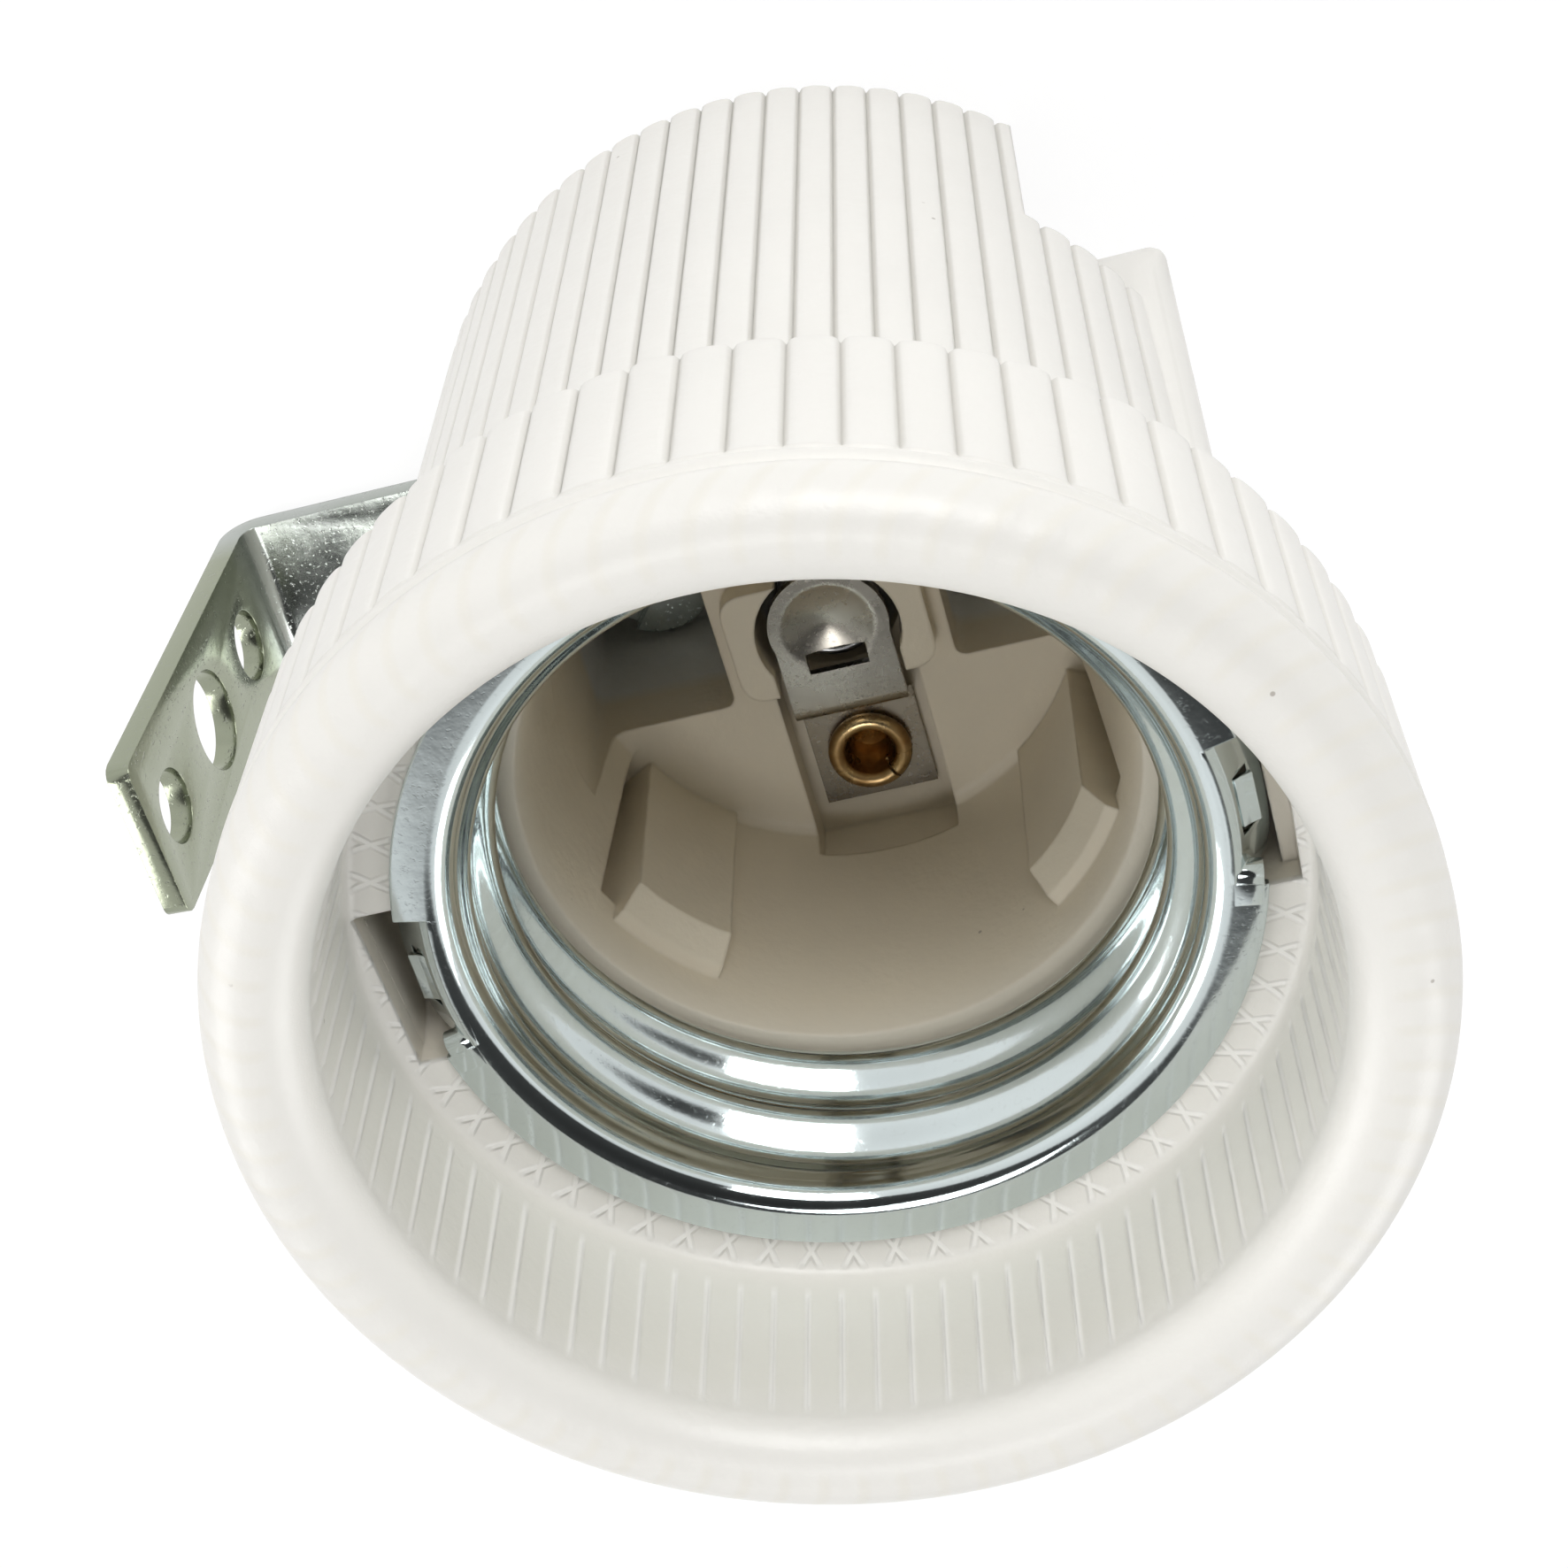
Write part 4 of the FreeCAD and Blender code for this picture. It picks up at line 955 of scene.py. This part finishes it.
def make_screw(name, node, body, material, place, turn, size, upside_down=False):
    major, pitch, length, head_r, head_h, slot_w, slot_d = size
    screw = raw_object(name, screw_skin(major, pitch, length, head_r, head_h))
    cut = block(-head_r - 1, head_r + 1, -slot_w / 2, slot_w / 2, head_h - slot_d, head_h + 1)
    combine(screw, [moved(cut, Matrix.Rotation(math.radians(turn), 4, "Z"))], "DIFFERENCE")
    if upside_down:
        screw.data.transform(Matrix.Rotation(math.pi, 4, "X"))
    screw.data.transform(Matrix.Translation(Vector(place) * MM))
    return finish_piece(screw, body, material, 30, [node])


def make_screws(material):
    terminal = (1.75, 0.6, 4.1, 3.0, 2.4, 0.8, 1.0)
    fixing = (1.5, 0.5, 6.0, 2.7, 2.0, 0.8, 1.0)
    seat = float(box_mm("centre_terminal_screw")[0][2]) + terminal[4]
    for side, pole in ((1, "centre"), (-1, "shell")):
        make_screw(pole + "_clamp_screw", pole + "_terminal_screw", pole + "_screw", material,
                   (SCREW_X, side * SCREW_Y, seat), -35 * side, terminal, True)
    seat = float(box_mm("bracket_screw_outer")[1][2]) - fixing[4]
    for side, end in ((1, "outer"), (-1, "inner")):
        make_screw("bracket_fixing_" + end, "bracket_screw_" + end, "holder", material,
                   (side * 7.8, 0, seat), 50 * side, fixing)


def make_plates(brass, steel):
    """Terminal plates and square clamp washers."""
    for side, pole in ((1, "centre"), (-1, "shell")):
        low, high = box_mm(pole + "_terminal")
        plate = raw_object(pole + "_terminal_plate", rounded_block(low[0], high[0], low[1], high[1],
                                                                   low[2], high[2], 0.8))
        holes = [rod(SCREW_HOLE_R, 5, 15, SCREW_X, side * SCREW_Y),
                 rod(RIVET_HOLE_R, 5, 15, 0, side * RIVET_Y)]
        combine(plate, holes, "DIFFERENCE")
        bevelled(plate, 0.08)
        finish_piece(plate, "holder", brass, 35, [pole + "_terminal"])
        low, high = box_mm(pole + "_clamp_washer")
        washer = raw_object(pole + "_clamp_plate", rounded_block(low[0], high[0], low[1], high[1],
                                                                 low[2], high[2], 0.4))
        combine(washer, [rod(SCREW_HOLE_R, 5, 15, SCREW_X, side * SCREW_Y)], "DIFFERENCE")
        bevelled(washer, 0.1)
        finish_piece(washer, pole + "_clamp", steel, 35, [pole + "_clamp_washer"])


def make_lock_washers(material):
    """Split spring washers whose two ends stand a little apart in height."""
    for side, end in ((1, "outer"), (-1, "inner")):
        low, high = box_mm("bracket_washer_" + end)
        a = np.radians(np.linspace(4, 356, 90)) + math.radians(60 * side)
        lift = np.linspace(-0.08, 0.0, 90)
        section = [(1.6, 0.08), (2.65, 0.08), (2.65, 0.8), (1.6, 0.8)]
        rings = np.stack([polar(r, a, low[2] + z + lift) for r, z in section], 1)
        ring = raw_object("lock_ring_" + end, turned(rings))
        bevelled(ring, 0.06)
        ring.data.transform(Matrix.Translation((side * BRACKET_SCREW_X * MM, 0, 0)))
        finish_piece(ring, "holder", material, 35, ["bracket_washer_" + end])


LEG_TILT = math.radians(4.8)


def bracket_skin():
    """Bent strap with rounded corners at both ends, as rings across it."""
    width, thick, corner = 7.35, 1.0, 0.6
    start, inner_x, top = float(BRACKET_LOW[0]), 26.35, float(BRACKET_HIGH[2])
    base_z = 0.9
    reach = inner_x + 0.5 / math.cos(LEG_TILT)
    leg = np.array([math.sin(LEG_TILT), math.cos(LEG_TILT)])
    foot = np.array([reach - 0.5 * math.tan(LEG_TILT), base_z])
    tip = foot + leg * (top - base_z) / math.cos(LEG_TILT) * 0.9985
    path = rounded_path([(start, base_z), foot, tip], 0.8 + thick / 2, 12)
    fine = [0.0, 0.02, 0.08, 0.18, 0.32, 0.6]
    head = [np.array([start + d, base_z]) for d in fine]
    tail = [tip - leg * d for d in fine[::-1]]
    points = np.array(head + path[1:-1] + tail)
    gone = np.linalg.norm(np.diff(points, axis=0), axis=1).cumsum()
    run = np.concatenate([[0.0], gone])
    near = np.minimum(run, run[-1] - run)
    inset = np.where(near < corner, corner - np.sqrt(np.maximum(corner ** 2 - (corner - near) ** 2, 0)), 0)
    step = np.gradient(points, axis=0)
    step /= np.linalg.norm(step, axis=1)[:, None]
    normal = np.stack([-step[:, 1], step[:, 0]], -1) * thick / 2
    half = width / 2 - inset
    rings = []
    for (x, z), (nx, nz), h in zip(points, normal, half):
        rings.append([(x + nx, -h, z + nz), (x + nx, h, z + nz), (x - nx, h, z - nz), (x - nx, -h, z - nz)])
    return turned(np.array(rings))


def make_bracket(material):
    """Strap with its two screw holes and the three holes of its leg."""
    bracket = raw_object("bracket_strap", bracket_skin())
    tools = [rod(1.55, -2, 4, side * BRACKET_SCREW_X, 0, 48) for side in (1, -1)]
    for z, r in ((5.5, 1.6), (11.8, 2.2), (18.5, 1.6)):
        x = 26.35 + (z - 1.4) * math.tan(LEG_TILT)
        turn = Matrix.Translation((x, 0, z)) @ Matrix.Rotation(math.pi / 2 + LEG_TILT, 4, "Y")
        tools.append(moved(rod(r, -3, 3, sides=72), turn))
    combine(bracket, tools, "DIFFERENCE")
    bevelled(bracket, 0.09, 3)
    return finish_piece(bracket, "holder", material, 35, ["bracket"])


# ------------------------------------------------------------------ stage

def make_stage(stage):
    """Pale floor and backdrop, soft lamps, world and camera."""
    size = 1.6
    floor_mesh = bpy.data.meshes.new("floor")
    z = -0.00005
    floor_mesh.from_pydata([(-size, -size, z), (size, -size, z), (size, size, z), (-size, size, z)], [],
                           [(0, 1, 2, 3)])
    floor = bpy.data.objects.new("floor", floor_mesh)
    bpy.context.scene.collection.objects.link(floor)
    material, paint, shader = new_material("floor_paper")
    shader.inputs["Base Color"].default_value = (0.9, 0.9, 0.9, 1)
    shader.inputs["Roughness"].default_value = 0.9
    ray = paint.add("ShaderNodeLightPath")
    seen = paint.math("MAXIMUM", ray.outputs["Is Camera Ray"], paint.math(
        "MAXIMUM", ray.outputs["Is Glossy Ray"], ray.outputs["Is Transmission Ray"]))
    glow = paint.add("ShaderNodeEmission", {"Color": (1, 1, 1, 1), "Strength": stage.floor_glow})
    both = paint.add("ShaderNodeMixShader", {0: paint.math("MULTIPLY", seen, 0.8), 1: shader.outputs[0],
                                             2: glow.outputs[0]})
    output = material.node_tree.nodes["Material Output"]
    paint.tree.links.new(both.outputs[0], output.inputs["Surface"])
    floor.data.materials.append(material)
    make_world(stage)
    make_lamps(stage)
    make_camera()
    bpy.context.scene.view_settings.view_transform = "Standard"


def make_world(stage):
    """Studio round the object: bright sides and a darker patch overhead, white behind the floor."""
    world = bpy.data.worlds.new("studio")
    bpy.context.scene.world = world
    world.use_nodes = True
    paint = Paint(world.node_tree)
    back = world.node_tree.nodes["Background"]
    direction = paint.add("ShaderNodeTexCoord").outputs["Generated"]
    lean = paint.add("ShaderNodeVectorMath", {0: direction, 1: (-0.25, -0.1, 0.96)}, operation="DOT_PRODUCT")
    shade = paint.ramp(lean.outputs["Value"], [(0.0, 0.95), (0.4, 1.0), (0.685, 0.85),
                                              (0.725, 0.06), (1.0, 0.03)])
    ray = paint.add("ShaderNodeLightPath")
    camera = paint.mix(ray.outputs["Is Camera Ray"], shade, (1.0, 1.0, 1.0))
    world.node_tree.links.new(camera, back.inputs["Color"])
    seen = paint.math("MAXIMUM", ray.outputs["Is Camera Ray"], paint.math(
        "MAXIMUM", ray.outputs["Is Glossy Ray"], ray.outputs["Is Transmission Ray"]))
    strength = paint.math("ADD", stage.world_level, paint.math("MULTIPLY", seen, 1.0 - stage.world_level))
    world.node_tree.links.new(strength, back.inputs["Strength"])


def lamp(name, place, aim, size, power, colour=(1.0, 1.0, 1.0)):
    """Square area lamp at a place in millimetres, aimed at a point."""
    data = bpy.data.lights.new(name, "AREA")
    data.shape, data.size, data.energy, data.color = "SQUARE", size * MM, power, colour
    obj = bpy.data.objects.new(name, data)
    way = Vector(aim) - Vector(place)
    obj.location = Vector(place) * MM
    obj.rotation_euler = way.to_track_quat("-Z", "Y").to_euler()
    bpy.context.scene.collection.objects.link(obj)
    return obj


def make_lamps(stage):
    """Key, two fills and a lamp over the mouth, all aimed at the middle of the body."""
    aim = (0, 0, 25)
    lamp("key_lamp", (-90, -230, 190), aim, 150, stage.key_power)
    lamp("fill_lamp", (230, 60, 150), aim, 160, stage.fill_power)
    lamp("back_lamp", (-120, 210, 140), aim, 140, stage.fill_power * 0.8)
    lamp("mouth_lamp", (40, 30, 330), aim, 90, stage.mouth_power)


CAMERA_PLACE = (-15.76, -60.84, 129.4)
CAMERA_RIGHT = (-0.9659, 0.2588, -0.0112)
CAMERA_DOWN = (0.2142, 0.8223, 0.5272)
CAMERA_LENS = 73.14


def make_camera():
    """Camera above the mouth, turned by its right and down directions."""
    data = bpy.data.cameras.new("camera")
    data.lens, data.sensor_width = CAMERA_LENS, 36.0
    data.clip_start, data.clip_end = 0.01, 10.0
    camera = bpy.data.objects.new("camera", data)
    right, up = Vector(CAMERA_RIGHT).normalized(), -Vector(CAMERA_DOWN).normalized()
    back = right.cross(up).normalized()
    turn = Matrix((right, up, back)).transposed()
    camera.matrix_world = Matrix.Translation(Vector(CAMERA_PLACE) * MM) @ turn.to_4x4()
    bpy.context.scene.collection.objects.link(camera)
    bpy.context.scene.camera = camera


# ------------------------------------------------------------------ settings and operators

class HolderSizes(bpy.types.PropertyGroup):
    rib_depth: FloatProperty(name="Rib depth", description="Depth of the grooves between the ribs",
                             default=0.28 * MM, min=0.0, max=0.6 * MM, unit="LENGTH", precision=5)
    line_height: FloatProperty(name="Line height", description="Height of the lines on the inner wall",
                               default=0.12 * MM, min=0.0, max=0.3 * MM, unit="LENGTH", precision=5)
    rear_ribs: IntProperty(name="Rear ribs", description="Ribs round the rear section", default=76, min=24)
    skirt_ribs: IntProperty(name="Skirt ribs", description="Ribs round the skirt", default=73, min=24)
    rear_phase: FloatProperty(name="Rear phase", description="Azimuth of a rear groove in degrees",
                              default=-86.3)
    skirt_phase: FloatProperty(name="Skirt phase", description="Azimuth of a skirt groove in degrees",
                               default=-90.9)
    line_phase: FloatProperty(name="Line phase", description="Azimuth of an inner line in degrees",
                              default=0.0)


class HolderColours(bpy.types.PropertyGroup):
    porcelain: FloatVectorProperty(name="Porcelain", description="Glazed outside", subtype="COLOR",
                                   default=(0.79, 0.775, 0.735), min=0.0, max=1.0)
    # The bore colour is painted shade: a darker, warmer tone for the little light inside the bore.
    bore: FloatVectorProperty(name="Bore", description="Duller porcelain inside the bore", subtype="COLOR",
                              default=(0.80, 0.72, 0.58), min=0.0, max=1.0)
    zinc: FloatVectorProperty(name="Zinc plate", description="Shell, bracket and screws", subtype="COLOR",
                              default=(0.66, 0.73, 0.735), min=0.0, max=1.0)
    nickel: FloatVectorProperty(name="Nickel plate", description="Centre contact", subtype="COLOR",
                                default=(0.40, 0.375, 0.33), min=0.0, max=1.0)
    brass: FloatVectorProperty(name="Brass", description="Rivets and terminals", subtype="COLOR",
                               default=(0.60, 0.43, 0.22), min=0.0, max=1.0)


class HolderStage(bpy.types.PropertyGroup):
    key_power: FloatProperty(name="Key", description="Power of the key lamp in watts", default=0.55, min=0.0)
    fill_power: FloatProperty(name="Fill", description="Power of the fill lamps in watts", default=0.3,
                              min=0.0)
    mouth_power: FloatProperty(name="Mouth", description="Power of the lamp over the mouth", default=0.16,
                               min=0.0)
    world_level: FloatProperty(name="World", description="Brightness of the studio walls", default=0.56,
                               min=0.0)
    floor_glow: FloatProperty(name="Floor glow", description="Brightness of the floor as it is seen",
                              default=1.07, min=0.0)


class HOLDER_OT_porcelain(bpy.types.Operator):
    """Build the ribbed porcelain body"""
    bl_idname = "holder.porcelain"
    bl_label = "Porcelain body"

    def execute(self, context):
        scene = context.scene
        make_body(scene.holder_sizes, porcelain_material(scene.holder_sizes, scene.holder_colours))
        return {"FINISHED"}


class HOLDER_OT_shell(bpy.types.Operator):
    """Build the threaded screw shell with its flange and lugs"""
    bl_idname = "holder.shell"
    bl_label = "Screw shell"

    def execute(self, context):
        make_shell(plated_material("zinc_sheet", context.scene.holder_colours.zinc, (0.06, 0.16), 0.003, 0.15,
                                   0.06, (0.56, 0.60, 0.58)))
        return {"FINISHED"}


class HOLDER_OT_contacts(bpy.types.Operator):
    """Build the centre contact, its spring, the shell's lead and the rivets"""
    bl_idname = "holder.contacts"
    bl_label = "Contacts"

    def execute(self, context):
        colours = context.scene.holder_colours
        make_contact(plated_material("nickel_plate", colours.nickel, (0.22, 0.38), 0.003, 0.1, 0.05,
                                     (0.31, 0.28, 0.23)))
        make_spring(plated_material("spring_wire", (0.55, 0.55, 0.56), (0.25, 0.4)))
        make_lead(plated_material("lead_plate", (0.74, 0.70, 0.62), (0.25, 0.4)))
        make_rivets(brass_material("rivet_brass", colours.brass))
        return {"FINISHED"}


class HOLDER_OT_terminals(bpy.types.Operator):
    """Build the terminal plates, clamp washers and screws"""
    bl_idname = "holder.terminals"
    bl_label = "Terminals and screws"

    def execute(self, context):
        colours = context.scene.holder_colours
        steel = plated_material("screw_zinc", colours.zinc, (0.18, 0.34), 0.008, 0.6, 0.05)
        make_plates(brass_material("terminal_brass", (0.78, 0.58, 0.28)), steel)
        make_screws(steel)
        make_lock_washers(steel)
        return {"FINISHED"}


class HOLDER_OT_bracket(bpy.types.Operator):
    """Build the L-shaped fixing bracket"""
    bl_idname = "holder.bracket"
    bl_label = "Bracket"

    def execute(self, context):
        # Painted shade: the bracket's leg is painted darker above 1.9 to 4 mm, standing in for the dark it
        # reflects.
        make_bracket(plated_material("bracket_zinc", (0.45, 0.475, 0.455), (0.12, 0.3), 0.008, 0.6, 0.06,
                                     (0.30, 0.34, 0.27), (1.9, 4.0, (0.32, 0.345, 0.26))))
        return {"FINISHED"}


class HOLDER_OT_stage(bpy.types.Operator):
    """Set the floor, lamps, world and camera"""
    bl_idname = "holder.stage"
    bl_label = "Stage"

    def execute(self, context):
        make_stage(context.scene.holder_stage)
        return {"FINISHED"}


OPERATORS = (HOLDER_OT_porcelain, HOLDER_OT_shell, HOLDER_OT_contacts, HOLDER_OT_terminals,
             HOLDER_OT_bracket, HOLDER_OT_stage)


class HOLDER_PT_panel(bpy.types.Panel):
    bl_idname = "HOLDER_PT_panel"
    bl_label = "Lamp Holder"
    bl_space_type = "VIEW_3D"
    bl_region_type = "UI"
    bl_category = "Lamp Holder"

    def draw(self, context):
        for operator in OPERATORS:
            self.layout.operator(operator.bl_idname)
        for group in (context.scene.holder_sizes, context.scene.holder_colours, context.scene.holder_stage):
            column = self.layout.column(align=True)
            for name in group.__annotations__:
                column.prop(group, name)


GROUPS = (("holder_sizes", HolderSizes), ("holder_colours", HolderColours), ("holder_stage", HolderStage))


def register():
    for name, group in GROUPS:
        bpy.utils.register_class(group)
        setattr(bpy.types.Scene, name, PointerProperty(type=group))
    for operator in OPERATORS:
        bpy.utils.register_class(operator)
    bpy.utils.register_class(HOLDER_PT_panel)


def unregister():
    bpy.utils.unregister_class(HOLDER_PT_panel)
    for operator in reversed(OPERATORS):
        bpy.utils.unregister_class(operator)
    for name, group in reversed(GROUPS):
        delattr(bpy.types.Scene, name)
        bpy.utils.unregister_class(group)


def main():
    register()
    bpy.ops.holder.porcelain()
    bpy.ops.holder.shell()
    bpy.ops.holder.contacts()
    bpy.ops.holder.terminals()
    bpy.ops.holder.bracket()
    bpy.ops.holder.stage()


if __name__ == "__main__":
    main()
